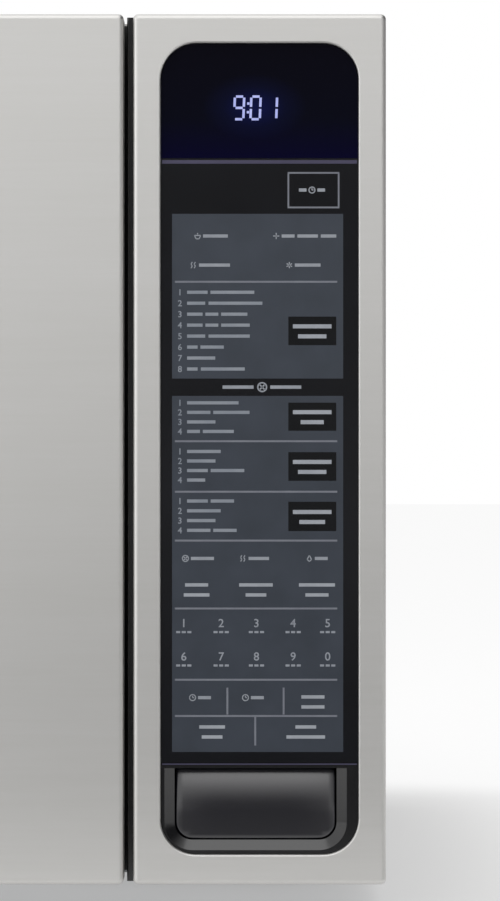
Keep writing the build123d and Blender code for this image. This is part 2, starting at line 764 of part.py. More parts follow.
def convection_fan_motor():
    """Shaded-pole motor on the back of the duct."""
    y = (liner_back + duct_depth, liner_back + duct_depth + 22)
    spacer = rod("y", (cavity_x, y[0], cavity_z), 4, 14)
    core = block(around(cavity_x, 58), (y[0] + 4, y[1]), around(cavity_z, 48))
    core = fillet(core.edges().filter_by(Axis.Y), 3)
    coil_bottom = max(cavity_z - 44, heater_ends_z + heater_tube + heater_coil_gap)
    coil = block(around(cavity_x, 30), (y[0] + 2, y[1] + 2), (coil_bottom, cavity_z - 24))
    coil = fillet(coil.edges().filter_by(Axis.X), 3)
    bore = rod("y", (cavity_x, y[0] - 1, cavity_z), 18, convection_shaft_radius + running_clearance)
    return [core + spacer - bore, coil]


def oven_thermostat():
    """Snap-disc thermostat on the cavity's roof."""
    x = cavity_x + 60
    y = cavity_back - 50
    body = rod("z", (x, y, liner_top), 9, 8) + block(around(x, 24), around(y, 9), (liner_top, liner_top + 1))
    for tab_x in ((x - 5, x - 4), (x + 4, x + 5)):
        body += block(tab_x, around(y, 6), (liner_top, liner_top + 17))
    return body


# Latch bracket, switches and lever

rib_sheet = 2
rib_x = grown(around(hook_x, hook_width), hook_swing_clearance)
switch_width = 7
switch_length = 24
switch_height = 14
plunger_radius = 1.5
plunger_travel = 1.5
switch_stand = plunger_travel + 1.1
switch_y = (nose_front - 8, nose_front - 8 + switch_length)
plunger_y = nose_front + 5


def switch_places():
    """Each interlock switch with its x middle and the hook it answers to."""
    return {"primary": (hook_x - 4, upper_hook_z), "monitor": (hook_x + 4, upper_hook_z),
            "secondary": (hook_x + 4, lower_hook_z)}


def latch_bracket():
    """Moulding behind the front plate: catches for the hooks, switch seats and the lever's bearings."""
    spine_z = (lower_hook_z - 30, upper_hook_z + 30)
    bracket = block(grown(rib_x, rib_sheet + 4), (plate_back, plate_back + 3), spine_z)
    slot_width = hook_width + 2 * hook_swing_clearance
    for slot in latch_slots(grown((plate_back, plate_back + 3), 1), slot_width, 1):
        bracket -= slot
    catch_top = nose_depth - 0.5
    for z in (lower_hook_z, upper_hook_z):
        for x in (rib_x[0] - rib_sheet, rib_x[1]):
            bracket += block((x, x + rib_sheet), (plate_back, switch_y[1] + 2), (z - 24, z + 22))
        shelf_top = z - switch_stand - switch_height
        bracket += block(rib_x, (switch_y[0], switch_y[1]), (shelf_top - 2, shelf_top))
        bracket += block((hook_x - 1, rib_x[1]), (plate_back, nose_front - 0.5), (z + 0.4, z + catch_top))
    bore = lever_shaft_radius + running_clearance
    return bracket - rod("x", (rib_x[0] - 5, lever_y, lever_z), 40, bore)


def interlock_switch(name):
    """Microswitch body with the bore for its plunger and three tabs below."""
    x, z = switch_places()[name]
    body_top = z - switch_stand
    body = block(around(x, switch_width), switch_y, (body_top - switch_height, body_top))
    return body - rod("z", (x, plunger_y, body_top - 8), 10, plunger_radius + running_clearance)


def interlock_plunger(name):
    """Plunger held down by the hook above it."""
    x, z = switch_places()[name]
    return rod("z", (x, plunger_y, z - switch_stand - 7), switch_stand + 7 - touch_clearance, plunger_radius)


def open_lever():
    """Bell crank: the button's rod pushes its long arm back and its short arm lifts the lower hook."""
    lift_x = (hook_x - 6.5, hook_x - 2.5)
    push_arm_x = grown(push_x, -1)
    shaft = rod("x", (rib_x[0] - rib_sheet - 2, lever_y, lever_z), push_arm_x[1] - rib_x[0] + rib_sheet + 2,
                lever_shaft_radius)
    tip_y = lever_y + lever_arm - 1
    lift = block(lift_x, (lever_y, tip_y), around(lever_z, lever_arm_thickness))
    lift += rod("x", (lift_x[0], tip_y, lever_z), lift_x[1] - lift_x[0], lever_tip_radius)
    push = block(push_arm_x, around(lever_y, lever_arm_thickness), (push_z, lever_z))
    push += rod("x", (push_arm_x[0], lever_y, push_z), push_arm_x[1] - push_arm_x[0], lever_tip_radius)
    return shaft + lift + push


# Door

def front_skin(x, window, window_corner):
    """Folded stainless skin with four flanges and a window, its outer edges rolled over."""
    z = (body_bottom, top)
    skin = block(x, (front, front + skin_flange), z)
    skin = fillet(skin.edges().filter_by(Axis.Y), skin_edge_radius)
    skin = fillet(skin.faces().sort_by(Axis.Y)[0].edges(), skin_edge_radius - 0.2)
    inner_y = (skin_back, front + skin_flange)
    skin -= front_plate(grown(x, -skin_sheet), inner_y, grown(z, -skin_sheet), skin_inner_radius)
    skin -= front_plate(window[0], (front - 1, skin_back + 1), window[1], window_corner)
    rim = skin.faces().sort_by(Axis.Y)[0].edges()
    rim = rim.filter_by(lambda e: window[0][0] - 0.1 < e.center().X < window[0][1] + 0.1)
    rim = rim.filter_by(lambda e: window[1][0] - 0.1 < e.center().Z < window[1][1] + 0.1)
    return fillet(rim, window_edge_radius)


door_window = (grown((cavity_left, cavity_right), -door_window_margin),
               grown((cavity_floor, cavity_roof), -door_window_margin))
frame_x = grown((left, door_right), -skin_sheet)
frame_z = grown((body_bottom, top), -skin_sheet)
tunnel_x = grown(door_window[0], 2)
tunnel_z = grown(door_window[1], 2)
tunnel_corner = 8


def door_frame():
    """Brushed stainless front of the door, round its window."""
    return front_skin((left, door_right), door_window, 8)


def door_glass():
    """Dark outer glass, bonded behind the door frame."""
    y = (skin_back, skin_back + door_glass_thickness)
    return front_plate(grown(door_window[0], door_glass_lap), y, grown(door_window[1], door_glass_lap), 10)


def door_inner_frame():
    """Moulded tray that fills the door: back wall, window tunnel, hinge bearings and latch guides."""
    wall = inner_frame_wall
    glass_back = skin_back + door_glass_thickness
    bore_radius = hinge_pin_radius + running_clearance
    tray = front_plate(frame_x, (skin_back, door_back), frame_z, skin_inner_radius + seat_clearance)
    tray -= block(grown(frame_x, -wall), (skin_back, door_back - wall), grown(frame_z, -wall))
    tunnel_y = (glass_back, door_back - wall)
    tray += front_plate(grown(tunnel_x, wall), tunnel_y, grown(tunnel_z, wall), tunnel_corner + wall)
    tray -= front_plate(tunnel_x, (glass_back, door_back + 1), tunnel_z, tunnel_corner)
    for z in (top, body_bottom):
        inward = -1 if z == top else 1
        notch_end = z + inward * 7
        column_end = z + inward * (11 + hinge_pin_length)
        column = sorted((notch_end, column_end))
        tray += block((frame_x[0], hinge_x + 8), (hinge_y - 8, door_back), column)
        notch = sorted((z, notch_end))
        tray -= block((frame_x[0] - 1, hinge_x + 10), (hinge_y - 12, door_back + 1), notch)
        bore_z = notch_end if inward == 1 else notch_end - hinge_pin_length - 1
        tray -= rod("z", (hinge_x, hinge_y, bore_z), hinge_pin_length + 1, bore_radius)
    tray -= latch_slots((door_back - wall - 1, door_back + 1), hook_width + 2 * sliding_clearance, 0.5)
    seat = latch_spring_z()[1]
    tray += block(around(hook_x, 12), (latch_bar_y[0] - 2, door_back - wall), (seat, seat + 3))
    return tray


def door_screen():
    """Perforated steel sheet that keeps the microwaves in, drawn plain."""
    y = (door_back - inner_frame_wall - screen_sheet, door_back - inner_frame_wall)
    lip = seat_clearance
    return front_plate(grown(tunnel_x, -lip), y, grown(tunnel_z, -lip), tunnel_corner - lip)


def inner_window():
    """Clear pane on the cavity side of the screen."""
    y = (door_back - inner_frame_wall, door_back)
    lip = seat_clearance
    return front_plate(grown(tunnel_x, -lip), y, grown(tunnel_z, -lip), tunnel_corner - lip)


def choke_cover():
    """Moulded frame over the door's choke; its inner edge holds the inner window."""
    y = (door_back, door_back + choke_cover_thickness)
    outer_x = grown(tunnel_x, choke_cover_margin)
    outer_z = grown(tunnel_z, choke_cover_margin)
    cover = front_plate(outer_x, y, outer_z, 14)
    cover = fillet(cover.faces().sort_by(Axis.Y)[-1].edges(), 1)
    return cover - front_plate(grown(tunnel_x, -5), grown(y, 1), grown(tunnel_z, -5), 6)


latch_bar_y = (door_back - inner_frame_wall - 14, door_back - inner_frame_wall - 4)


def latch_spring_z():
    """Ends of the latch spring: the top of the latch's bar and its seat in the door."""
    bar_top = upper_hook_z + nose_depth + hook_height + 4
    return (bar_top, bar_top + 24)


def latch_hook():
    """Sliding latch: a bar inside the door with two hooks that reach through the front plate."""
    bar = block(around(hook_x, 8), latch_bar_y, (lower_hook_z, latch_spring_z()[0]))
    for z in (lower_hook_z, upper_hook_z):
        arm = block(around(hook_x, hook_width), (latch_bar_y[0], hook_tip),
                    (z + nose_depth, z + nose_depth + hook_height))
        nose = block(around(hook_x, hook_width), (nose_front, hook_tip), (z, z + nose_depth + 1))
        arm += nose
        lower_tip = arm.edges().filter_by(Axis.X).group_by(Axis.Z)[0].sort_by(Axis.Y)[-1]
        bar += chamfer(lower_tip, 1.5)
    return bar


def latch_spring():
    """Spring that holds the latch down."""
    low, high = latch_spring_z()
    middle_y = (latch_bar_y[0] + latch_bar_y[1]) / 2
    spring = rod("z", (hook_x, middle_y, low), high - low, spring_radius - 1)
    return spring - rod("z", (hook_x, middle_y, low - 1), high - low + 2, spring_radius - 1 - spring_wire)


def hinge(z, inward):
    """Bracket behind the front plate with a tab and a pin that the door turns on."""
    tab_outer = z + inward * 4
    tab = sorted((tab_outer, tab_outer + inward * hinge_tab))
    x = around(hinge_x, 2 * hinge_tab_half_width)
    bracket = block(x, (hinge_y, plate_back + 2), tab)
    bracket += rod("z", (hinge_x, hinge_y, tab[0]), hinge_tab, hinge_tab_half_width)
    bracket = bracket & block((inside_left + base_sheet, hinge_x + 20), (front, back), tab)
    leg = sorted((tab_outer, tab_outer + inward * 36))
    bracket += block((inside_left + base_sheet, x[1]), (plate_back, plate_back + 2), leg)
    pin_low = tab[1] if inward == 1 else tab[0] - hinge_pin_length
    return bracket + rod("z", (hinge_x, hinge_y, pin_low), hinge_pin_length, hinge_pin_radius)


# Control panel

def control_bezel():
    """Brushed stainless skin of the control panel, with its edge turned in round the window."""
    skin = front_skin((panel_left, right), (window_x, window_z), window_radius)
    lip_y = (front + window_edge_radius, fascia_front + 0.3)
    lip = front_plate(grown(window_x, 0.8), lip_y, grown(window_z, 0.8), window_radius + 0.8)
    lip -= front_plate(window_x, grown(lip_y, 1), window_z, window_radius)
    return skin + lip


def window_piece(y, z, inset):
    """The part of the window's shape between two heights, drawn in from the steel."""
    form = front_plate(grown(window_x, -inset), y, grown(window_z, -inset), window_radius - inset)
    return form & block(grown(window_x, 5), grown(y, 1), z)


def display_lens():
    """Dark gloss lens over the clock."""
    return window_piece((fascia_front - 0.3, fascia_back), (lens_bottom, window_z[1]), seat_clearance)


def touch_key_panel():
    """Flat membrane key panel, printed on its face."""
    z = (button_zone_top, lens_bottom - lens_gap)
    return window_piece((fascia_front, fascia_back), z, seat_clearance)


def button_form(y, spare):
    """The button's outline, round at its two lower corners."""
    x = grown(button_x, spare)
    z = grown(button_z, spare)
    lower = front_plate(x, y, z, button_corner + spare)
    return lower + block(x, y, (button_middle, z[1]))


def button_recess_form():
    """The recess in front of the button: its sides and bottom slope in to the button, its top is square."""
    x = grown(button_x, sliding_clearance)
    z = (button_z[0] - sliding_clearance, button_z[1] + 2 * button_corner)
    face = RectangleRounded(x[1] - x[0], z[1] - z[0], button_corner + sliding_clearance)
    middle = ((x[0] + x[1]) / 2, button_face, (z[0] + z[1]) / 2)
    slope = degrees(atan(recess_slope / button_recess))
    face = Plane(origin=middle, x_dir=(1, 0, 0), z_dir=(0, -1, 0)) * face
    form = extrude(face, button_recess + 0.5, taper=-slope)
    room_z = (z[0] - 2 * recess_slope, button_z[1] + sliding_clearance)
    return form & block(grown(x, 2 * recess_slope), (front, button_face), room_z)


def panel_housing():
    """Moulded box behind the bezel: carries the lens, keys, board and button. A rib fills the door gap."""
    x = grown((panel_left, right), -skin_sheet)
    z = grown((body_bottom, top), -skin_sheet)
    inner_front = fascia_back + housing_wall
    box = front_plate(x, (skin_back, plate_front), z, skin_inner_radius + seat_clearance)
    rib_x = (door_right + gap_rib_clearance, x[0] + 1)
    rib = block(rib_x, (front + skin_flange + seat_clearance, plate_front), (body_bottom, top))
    box += fillet(rib.edges().filter_by(Axis.Z).group_by(Axis.X)[0], 0.8)
    pocket = front_plate(grown(window_x, 0.8 + seat_clearance), (skin_back, fascia_back),
                         grown(window_z, 0.8 + seat_clearance), window_radius + 0.8 + seat_clearance)
    box -= pocket
    box -= block(grown(x, -housing_wall), (inner_front, plate_front), grown(z, -housing_wall))
    button_zone = (window_z[0], button_zone_top - seat_clearance)
    rib_z = grown((lens_bottom - lens_gap, lens_bottom), -seat_clearance)
    box += window_piece((fascia_front, fascia_back), button_zone, seat_clearance)
    box += window_piece((fascia_back - 0.8, fascia_back), rib_z, seat_clearance)
    backing_x = grown(button_x, sliding_clearance + recess_slope + 1)
    backing_z = (button_z[0] - sliding_clearance - recess_slope - 1, button_z[1])
    box += block(backing_x, (fascia_back, inner_front + 1), backing_z)
    guide = button_form((inner_front - 1, spring_seat + 2), sliding_clearance + 2)
    guide -= button_form((inner_front - 1, spring_seat), sliding_clearance)
    box += guide - block(x, (inner_front - 1, spring_seat), around(button_z[1] + 20, 0.1))
    box -= button_form((front, inner_front + 2), sliding_clearance) + button_recess_form()
    for z_post in (board_z[0] + 8, board_z[1] - 8):
        for x_post in grown(window_x, -5):
            box += rod("y", (x_post, inner_front, z_post), board_y - inner_front, 3)
    box -= block(grown(clock_x, 0.5), (fascia_back - 1, inner_front + 1), around(clock_z, 27))
    rod_x = grown(push_x, sliding_clearance)
    rod_z = grown(around(push_z, push_rod_width), sliding_clearance)
    return box - block(rod_x, (spring_seat - 1, spring_seat + 3), rod_z)


clock_z = (lens_bottom + window_z[1]) / 2
board_z = (button_zone_top + 12, window_z[1] - 3)


def clock_display():
    """Display module that stands on the control board behind the lens."""
    body = block(clock_x, (fascia_back, board_y), around(clock_z, 26))
    return body - block(grown(clock_x, -2), (fascia_back + 2, board_y - 2), around(clock_z, 22))


def control_board():
    """Circuit board on posts, with its transformer, relays, buzzer and sockets at the back."""
    rear = board_y + 1.6
    board = block(grown(window_x, -1.5), (board_y, rear), board_z)
    middle = (board_z[0] + board_z[1]) / 2
    parts = [board]
    parts.append(block(around(panel_x - 18, 34), (rear, rear + 13), around(board_z[0] + 34, 30)))
    for i in range(3):
        parts.append(block(around(panel_x + 22, 16), (rear, rear + 12), around(board_z[0] + 20 + 26 * i, 20)))
    parts.append(rod("y", (panel_x - 20, rear, middle), 8, 11))
    for z in (middle + 40, middle + 64):
        parts.append(block(around(panel_x, 40), (rear, rear + 9), around(z, 8)))
    return parts


def open_button():
    """Push button, its face curving back above a crest, with a skirt, a spigot and the lever's rod."""
    button = button_form((button_face, button_back + button_skirt), 0)
    button -= button_form((button_back, button_back + button_skirt), -1.8)
    crest_z = button_z[0] + button_crest
    x = grown(button_x, 1)
    upper = block(x, (button_face - 1, button_back), (crest_z, button_z[1] + 1))
    crown_axis = (x[0] - 1, button_face + button_crown_radius, crest_z)
    button -= upper - rod("x", crown_axis, x[1] - x[0] + 2, button_crown_radius)
    button += rod("y", (button_axis_x, button_back - 1, button_middle), 7, spring_radius - spring_wire - 0.4)
    rod_end = lever_y - lever_tip_radius - touch_clearance
    return button + block(push_x, (button_back - 1, rod_end), around(push_z, push_rod_width))


def button_spring():
    """Return spring between the button and the housing."""
    spring = rod("y", (button_axis_x, button_back, button_middle), spring_seat - button_back, spring_radius)
    return spring - rod("y", (button_axis_x, button_back - 1, button_middle), 40, spring_radius - spring_wire)


pieces = {
    "cabinet_wrap": cabinet_wrap(),
    "base_plate": base_plate(),
    "rear_panel": rear_panel(),
    "feet": feet(),
    "cabinet_screws": cabinet_screws(),
    "cord_gland": cord_gland(),
    "cavity_front_plate": cavity_front_plate(),
    "cavity_liner": cavity_liner(),
    "waveguide_cover": waveguide_cover(),
    "waveguide": waveguide(),
    "lamp_housing": lamp_housing(),
    "cavity_lamp": cavity_lamp(),
    "turntable_motor": turntable_motor(),
    "motor_coupling": motor_coupling(),
    "roller_stay": roller_stay(),
    "roller_1": roller(90),
    "roller_2": roller(210),
    "roller_3": roller(330),
    "turntable_tray": turntable_tray(),
    "magnetron": magnetron(),
    "magnetron_cutout": magnetron_cutout(),
    "high_voltage_transformer": high_voltage_transformer(),
    "high_voltage_capacitor": high_voltage_capacitor(),
    "high_voltage_diode": high_voltage_diode(),
    "filter_board": filter_board(),
    "fan_shroud": fan_shroud(),
    "cooling_fan_motor": cooling_fan_motor(),
    "cooling_fan": cooling_fan(),
    "convection_duct": convection_duct(),
    "convection_heater": convection_heater(),
    "convection_fan": convection_fan(),
    "convection_fan_motor": convection_fan_motor(),
    "oven_thermostat": oven_thermostat(),
    "latch_bracket": latch_bracket(),
    "primary_switch": interlock_switch("primary"),
    "monitor_switch": interlock_switch("monitor"),
    "secondary_switch": interlock_switch("secondary"),
    "primary_plunger": interlock_plunger("primary"),
    "monitor_plunger": interlock_plunger("monitor"),
    "secondary_plunger": interlock_plunger("secondary"),
    "open_lever": open_lever(),
    "door_frame": door_frame(),
    "door_glass": door_glass(),
    "door_inner_frame": door_inner_frame(),
    "door_screen": door_screen(),
    "inner_window": inner_window(),
    "choke_cover": choke_cover(),
    "latch_hook": latch_hook(),
    "latch_spring": latch_spring(),
    "upper_hinge": hinge(top, -1),
    "lower_hinge": hinge(body_bottom, 1),
    "control_bezel": control_bezel(),
    "panel_housing": panel_housing(),
    "display_lens": display_lens(),
    "clock_display": clock_display(),
    "touch_key_panel": touch_key_panel(),
    "control_board": control_board(),
    "open_button": open_button(),
    "button_spring": button_spring(),
}

os.makedirs("parts", exist_ok=True)
for name, piece in pieces.items():
    solids = [solid for item in (piece if isinstance(piece, list) else [piece]) for solid in item.solids()]
    export_step(Compound(children=solids) if len(solids) > 1 else solids[0], f"parts/{name}.step")
print(len(pieces), "pieces written")
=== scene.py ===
from math import cos, pi, radians, sin

import bmesh
import bpy
from mathutils import Matrix, Vector


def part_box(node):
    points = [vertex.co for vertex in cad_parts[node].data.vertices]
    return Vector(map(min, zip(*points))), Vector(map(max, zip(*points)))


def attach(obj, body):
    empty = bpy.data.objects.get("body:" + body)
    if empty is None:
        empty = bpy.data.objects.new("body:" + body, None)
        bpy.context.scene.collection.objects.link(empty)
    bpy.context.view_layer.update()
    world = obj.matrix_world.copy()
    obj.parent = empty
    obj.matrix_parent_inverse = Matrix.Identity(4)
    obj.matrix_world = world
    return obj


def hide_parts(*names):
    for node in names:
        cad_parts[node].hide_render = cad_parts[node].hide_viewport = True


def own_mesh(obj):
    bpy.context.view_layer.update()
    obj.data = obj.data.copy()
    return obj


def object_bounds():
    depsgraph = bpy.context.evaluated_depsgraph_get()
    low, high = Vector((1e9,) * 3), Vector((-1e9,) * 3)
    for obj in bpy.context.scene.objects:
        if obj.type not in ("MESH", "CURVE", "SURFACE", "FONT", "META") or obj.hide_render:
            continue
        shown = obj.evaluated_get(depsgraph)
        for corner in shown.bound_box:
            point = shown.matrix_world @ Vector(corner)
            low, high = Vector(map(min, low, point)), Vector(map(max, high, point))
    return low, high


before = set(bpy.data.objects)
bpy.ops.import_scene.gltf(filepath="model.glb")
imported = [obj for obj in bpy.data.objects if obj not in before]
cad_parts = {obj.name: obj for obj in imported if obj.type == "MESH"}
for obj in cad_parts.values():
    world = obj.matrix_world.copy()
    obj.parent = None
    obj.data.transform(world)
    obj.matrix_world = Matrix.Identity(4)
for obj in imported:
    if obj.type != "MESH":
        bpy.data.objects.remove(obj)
cad_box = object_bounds()

# Studio: a pale table in a soft white room, with one softbox before the panel, one over it and one at
# the left. The room is flagged dark behind the camera and dim at the right, and a black velvet runner
# lies before the panel, so that its gloss stays black and the steel's right edge is shaded.

room_light = 0.6
mirrored_room = 0.88
table_reach = 12.0
# The table's glow near the oven and away from it: weaker near it, a painted shadow round its foot.
table_glow_painted_shadow = {"near": (0.0, 0.36), "far": (0.16, 0.62)}
runner_x = (-0.1, 0.05, 0.46, 0.61)
runner_y = (-0.3, -0.5)
runner_cover = 0.98


def linear(colour):
    """An sRGB hex colour as linear red, green, blue and alpha."""
    parts = [int(colour[i : i + 2], 16) / 255 for i in (1, 3, 5)]
    return [p / 12.92 if p <= 0.04045 else ((p + 0.055) / 1.055) ** 2.4 for p in parts] + [1.0]


def add(tree, kind, sockets=(), stops=(), **settings):
    """Adds a shader node. A socket takes a value, another node or one of its outputs; stops fill a ramp."""
    made = tree.nodes.new("ShaderNode" + kind)
    for name, value in settings.items():
        setattr(made, name, value)
    for name, value in dict(sockets).items():
        if isinstance(value, bpy.types.Node):
            value = value.outputs[0]
        if isinstance(value, bpy.types.NodeSocket):
            tree.links.new(value, made.inputs[name])
        else:
            made.inputs[name].default_value = value
    if stops:
        marks = made.color_ramp.elements
        for _ in range(len(stops) - len(marks)):
            marks.new(1)
        for mark, (spot, colour) in zip(marks, stops):
            mark.position = spot
            mark.color = linear(colour) if isinstance(colour, str) else (colour, colour, colour, 1)
    return made


def seen_rays(tree):
    """1 for what the eye, a glossy face or glass sees, 0 for the rays that only carry light."""
    rays = add(tree, "LightPath").outputs
    seen = add(tree, "Math", {0: rays["Is Camera Ray"], 1: rays["Is Glossy Ray"]}, operation="ADD")
    return add(tree, "Math", {0: seen, 1: rays["Is Transmission Ray"]}, operation="ADD", use_clamp=True)


room = bpy.data.worlds.new("soft_room")
bpy.context.scene.world = room
room.use_nodes = True
tree = room.node_tree
tree.nodes.clear()
way = add(tree, "SeparateXYZ", {0: add(tree, "TexCoord").outputs["Generated"]})
forward = add(tree, "Math", {0: way.outputs["Y"], 1: -1.0}, operation="MULTIPLY")
flag = add(tree, "ValToRGB", {0: forward}, stops=[(0.965, 1.0), (0.992, 0.05)])
right = add(tree, "ValToRGB", {0: way.outputs["X"]}, stops=[(0.2, 1.0), (0.6, 0.03)])
mirrored = add(tree, "Math", {0: flag, 1: right}, operation="MULTIPLY")
mirrored = add(tree, "Math", {0: mirrored, 1: mirrored_room}, operation="MULTIPLY")
mirrored = add(tree, "Mix", {0: add(tree, "LightPath").outputs["Is Glossy Ray"], 2: 1.0, 3: mirrored})
strength = add(tree, "Mix", {0: seen_rays(tree), 2: room_light, 3: mirrored})
glow = add(tree, "Background", {"Color": linear("#ffffff"), "Strength": strength})
add(tree, "OutputWorld", {"Surface": glow})


def shape(name, mesh, material):
    """Makes an object of a finished bmesh, at the origin, with its material."""
    data = bpy.data.meshes.new(name)
    mesh.to_mesh(data)
    mesh.free()
    data.materials.append(material)
    made = bpy.data.objects.new(name, data)
    bpy.context.scene.collection.objects.link(made)
    return made


# Matt white laminate: it takes the oven's shadow, and a glow lifts it to white away from the oven; near
# the oven the glow is weaker, a painted shadow round its foot. Only a glossy face sees the runner,
# whose sides and near end are soft.
laminate = bpy.data.materials.new("matt_white_laminate")
laminate.use_nodes = True
tree = laminate.node_tree
tree.nodes.clear()
point = add(tree, "TexCoord").outputs["Object"]
beside = add(tree, "VectorMath", {0: point}, operation="ABSOLUTE")
beside = add(tree, "VectorMath", {0: beside, 1: cad_box[1]}, operation="SUBTRACT")
beside = add(tree, "VectorMath", {0: beside, 1: (0, 0, 0)}, operation="MAXIMUM")
away = add(tree, "VectorMath", {0: beside}, operation="LENGTH").outputs["Value"]
(near, near_shadow_glow), (far, far_glow) = table_glow_painted_shadow.values()
# Weaker glow close to the oven: a painted shadow round its foot.
painted_shadow_glow = add(tree, "MapRange", {"Value": away, "From Min": near, "From Max": far, "To Min": near_shadow_glow,
                              "To Max": far_glow}, interpolation_type="SMOOTHSTEP")
lifted = add(tree, "AddShader", {0: add(tree, "BsdfDiffuse", {"Color": linear("#c4c4c4")}),
                                 1: add(tree, "Emission", {"Color": linear("#ffffff"), "Strength": painted_shadow_glow})})
place = add(tree, "SeparateXYZ", {0: point}).outputs
left_edge, left_full, right_full, right_edge = runner_x
runner = add(tree, "LightPath").outputs["Is Glossy Ray"]
for axis, start, end in (("X", left_edge, left_full), ("X", right_edge, right_full), ("Y", *runner_y)):
    laid = add(tree, "MapRange", {"Value": place[axis], "From Min": start, "From Max": end,
                                  "To Max": runner_cover})
    runner = add(tree, "Math", {0: runner, 1: laid}, operation="MULTIPLY")
velvet = add(tree, "BsdfDiffuse", {"Color": linear("#000000")})
covered = add(tree, "MixShader", {0: runner, 1: lifted, 2: velvet})
plain = add(tree, "BsdfDiffuse", {"Color": linear("#e6e6e4")})
add(tree, "OutputMaterial", {"Surface": add(tree, "MixShader", {0: seen_rays(tree), 1: plain, 2: covered})})
mesh = bmesh.new()
bmesh.ops.create_grid(mesh, x_segments=1, y_segments=1, size=table_reach)
shape("studio_table", mesh, laminate)


def softbox(name, place, aim, width, height, radiance):
    """A flat studio lamp at place, turned to aim, that glows evenly all over."""
    lamp = bpy.data.lights.new(name, "AREA")
    lamp.shape = "RECTANGLE"
    lamp.size, lamp.size_y = width, height
    lamp.energy = radiance * pi * width * height
    box = bpy.data.objects.new(name, lamp)
    bpy.context.scene.collection.objects.link(box)
    box.location = place
    box.rotation_euler = (Vector(aim) - Vector(place)).to_track_quat("-Z", "Y").to_euler()


softbox("front_softbox", (0.22, -2.9, 2.15), (0.22, -0.25, 0.1), 1.7, 2.3, 0.9)
softbox("overhead_softbox", (0.2, -0.75, 1.75), (0.2, -0.25, 0.1), 1.7, 0.7, 0.6)
softbox("left_softbox", (-1.9, -1.3, 0.9), (0.0, -0.2, 0.2), 0.8, 1.3, 1.4)

# Camera: level and straight in front of the control panel, 1.6 m before the oven's front. Its lens
# takes in a width of 378 mm there.

view_x, view_z = 0.2555, 0.195
camera_distance = 1.6
frame_height = 0.3775
lens = bpy.data.cameras.new("camera")
lens.sensor_width = 36
lens.lens = lens.sensor_width * camera_distance / frame_height
camera = bpy.data.objects.new("camera", lens)
camera.location = (view_x, cad_box[0].y - camera_distance, view_z)
camera.rotation_euler = (radians(90), 0, 0)
bpy.context.scene.collection.objects.link(camera)
bpy.context.scene.camera = camera
bpy.context.scene.view_settings.view_transform = "Standard"

# Base plate, rear panel, waveguide, ducts and lamp box: steel sheet, punched and folded, then zinc
# coated. They are welded and screwed together round the cavity.

MM = 0.001


def finish(name, **sockets):
    """A new material: itself, its node tree, its shader and the Object coordinates for its patterns."""
    material = bpy.data.materials.new(name)
    material.use_nodes = True
    tree = material.node_tree
    shader = tree.nodes["Principled BSDF"]
    for socket, value in sockets.items():
        shader.inputs[socket.replace("_", " ")].default_value = value
    return material, tree, shader, add(tree, "TexCoord").outputs["Object"]


def feed(tree, shader, **patterns):
    """Links patterns to the shader's sockets."""
    for socket, pattern in patterns.items():
        tree.links.new(pattern.outputs[0], shader.inputs[socket.replace("_", " ")])


def dress(material, *nodes):
    """Gives the CAD pieces their finish."""
    for name in nodes:
        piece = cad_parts[name]
        piece.data.materials.clear()
        piece.data.materials.append(material)


# Hot-dip zinc: crystals about 9 mm wide, each a little lighter or darker, under a dull bloom.
zinc, tree, shader, point = finish("hot_dip_zinc", Metallic=1.0)
crystal = add(tree, "TexVoronoi", {"Vector": point, "Scale": 1 / (9 * MM)})
tone = add(tree, "RGBToBW", {0: crystal.outputs["Color"]})
bloom = add(tree, "TexNoise", {"Vector": point, "Scale": 1 / (60 * MM), "Detail": 4.0})
feed(tree, shader,
     Base_Color=add(tree, "ValToRGB", {0: tone}, stops=[(0.1, "#a6a9ab"), (0.9, "#c2c4c6")]),
     Roughness=add(tree, "MapRange", {"Value": bloom, "From Min": 0.3, "From Max": 0.7, "To Min": 0.34,
                                      "To Max": 0.52}))
dress(zinc, "base_plate", "rear_panel", "waveguide", "lamp_housing", "convection_duct", "turntable_motor")

# Feet: four short feet moulded in black rubber, one near each corner. A screw through each one holds
# it up against the base plate.

# Moulded rubber: matt and nearly black, with a fine grain of the mould and a faint grey bloom.
rubber, tree, shader, point = finish("moulded_rubber", Roughness=0.75)
grain = add(tree, "TexNoise", {"Vector": point, "Scale": 1 / (1.2 * MM), "Detail": 3.0})
feed(tree, shader,
     Base_Color=add(tree, "ValToRGB", {0: grain}, stops=[(0.3, "#1c1c1d"), (0.7, "#2a2a2b")]),
     Normal=add(tree, "Bump", {"Height": grain, "Distance": 0.1 * MM, "Strength": 0.4}))
dress(rubber, "feet")

# Cavity: a liner folded from stainless sheet and spot welded to a front plate, which is enamelled
# black where the door closes against it.

broad_share = 0.08
streak_spread = 0.015


def brushed(name, light, dark, grain, roughness):
    """Brushed stainless steel: fine even streaks over broad ones; grain is their size in mm by axis."""
    material, tree, shader, point = finish(name, Metallic=1.0)
    stretch = [1 / (g * MM) for g in grain]
    fine = add(tree, "TexNoise", {"Vector": add(tree, "Mapping", {"Vector": point, "Scale": stretch}),
                                  "Scale": 1.0, "Detail": 4.0, "Roughness": 0.7})
    spread = add(tree, "Mapping", {"Vector": point, "Scale": [s * broad_share for s in stretch]})
    broad = add(tree, "TexNoise", {"Vector": spread, "Scale": 1.0, "Detail": 2.0})
    both = add(tree, "Mix", {0: 0.5, 2: broad, 3: fine})
    feed(tree, shader,
         Base_Color=add(tree, "ValToRGB", {0: both}, stops=[(0.3, dark), (0.7, light)]),
         Roughness=add(tree, "MapRange", {"Value": fine, "From Min": 0.3, "From Max": 0.7,
                                          "To Min": roughness - streak_spread,
                                          "To Max": roughness + streak_spread}),
         Normal=add(tree, "Bump", {"Height": fine, "Distance": 0.0015 * MM}))
    return material


# Satin stainless: a soft grey sheen, with its grain from left to right.
satin = brushed("satin_stainless", "#c9c8c5", "#b7b6b3", (33, 1.1, 1.1), 0.33)
dress(satin, "cavity_liner")

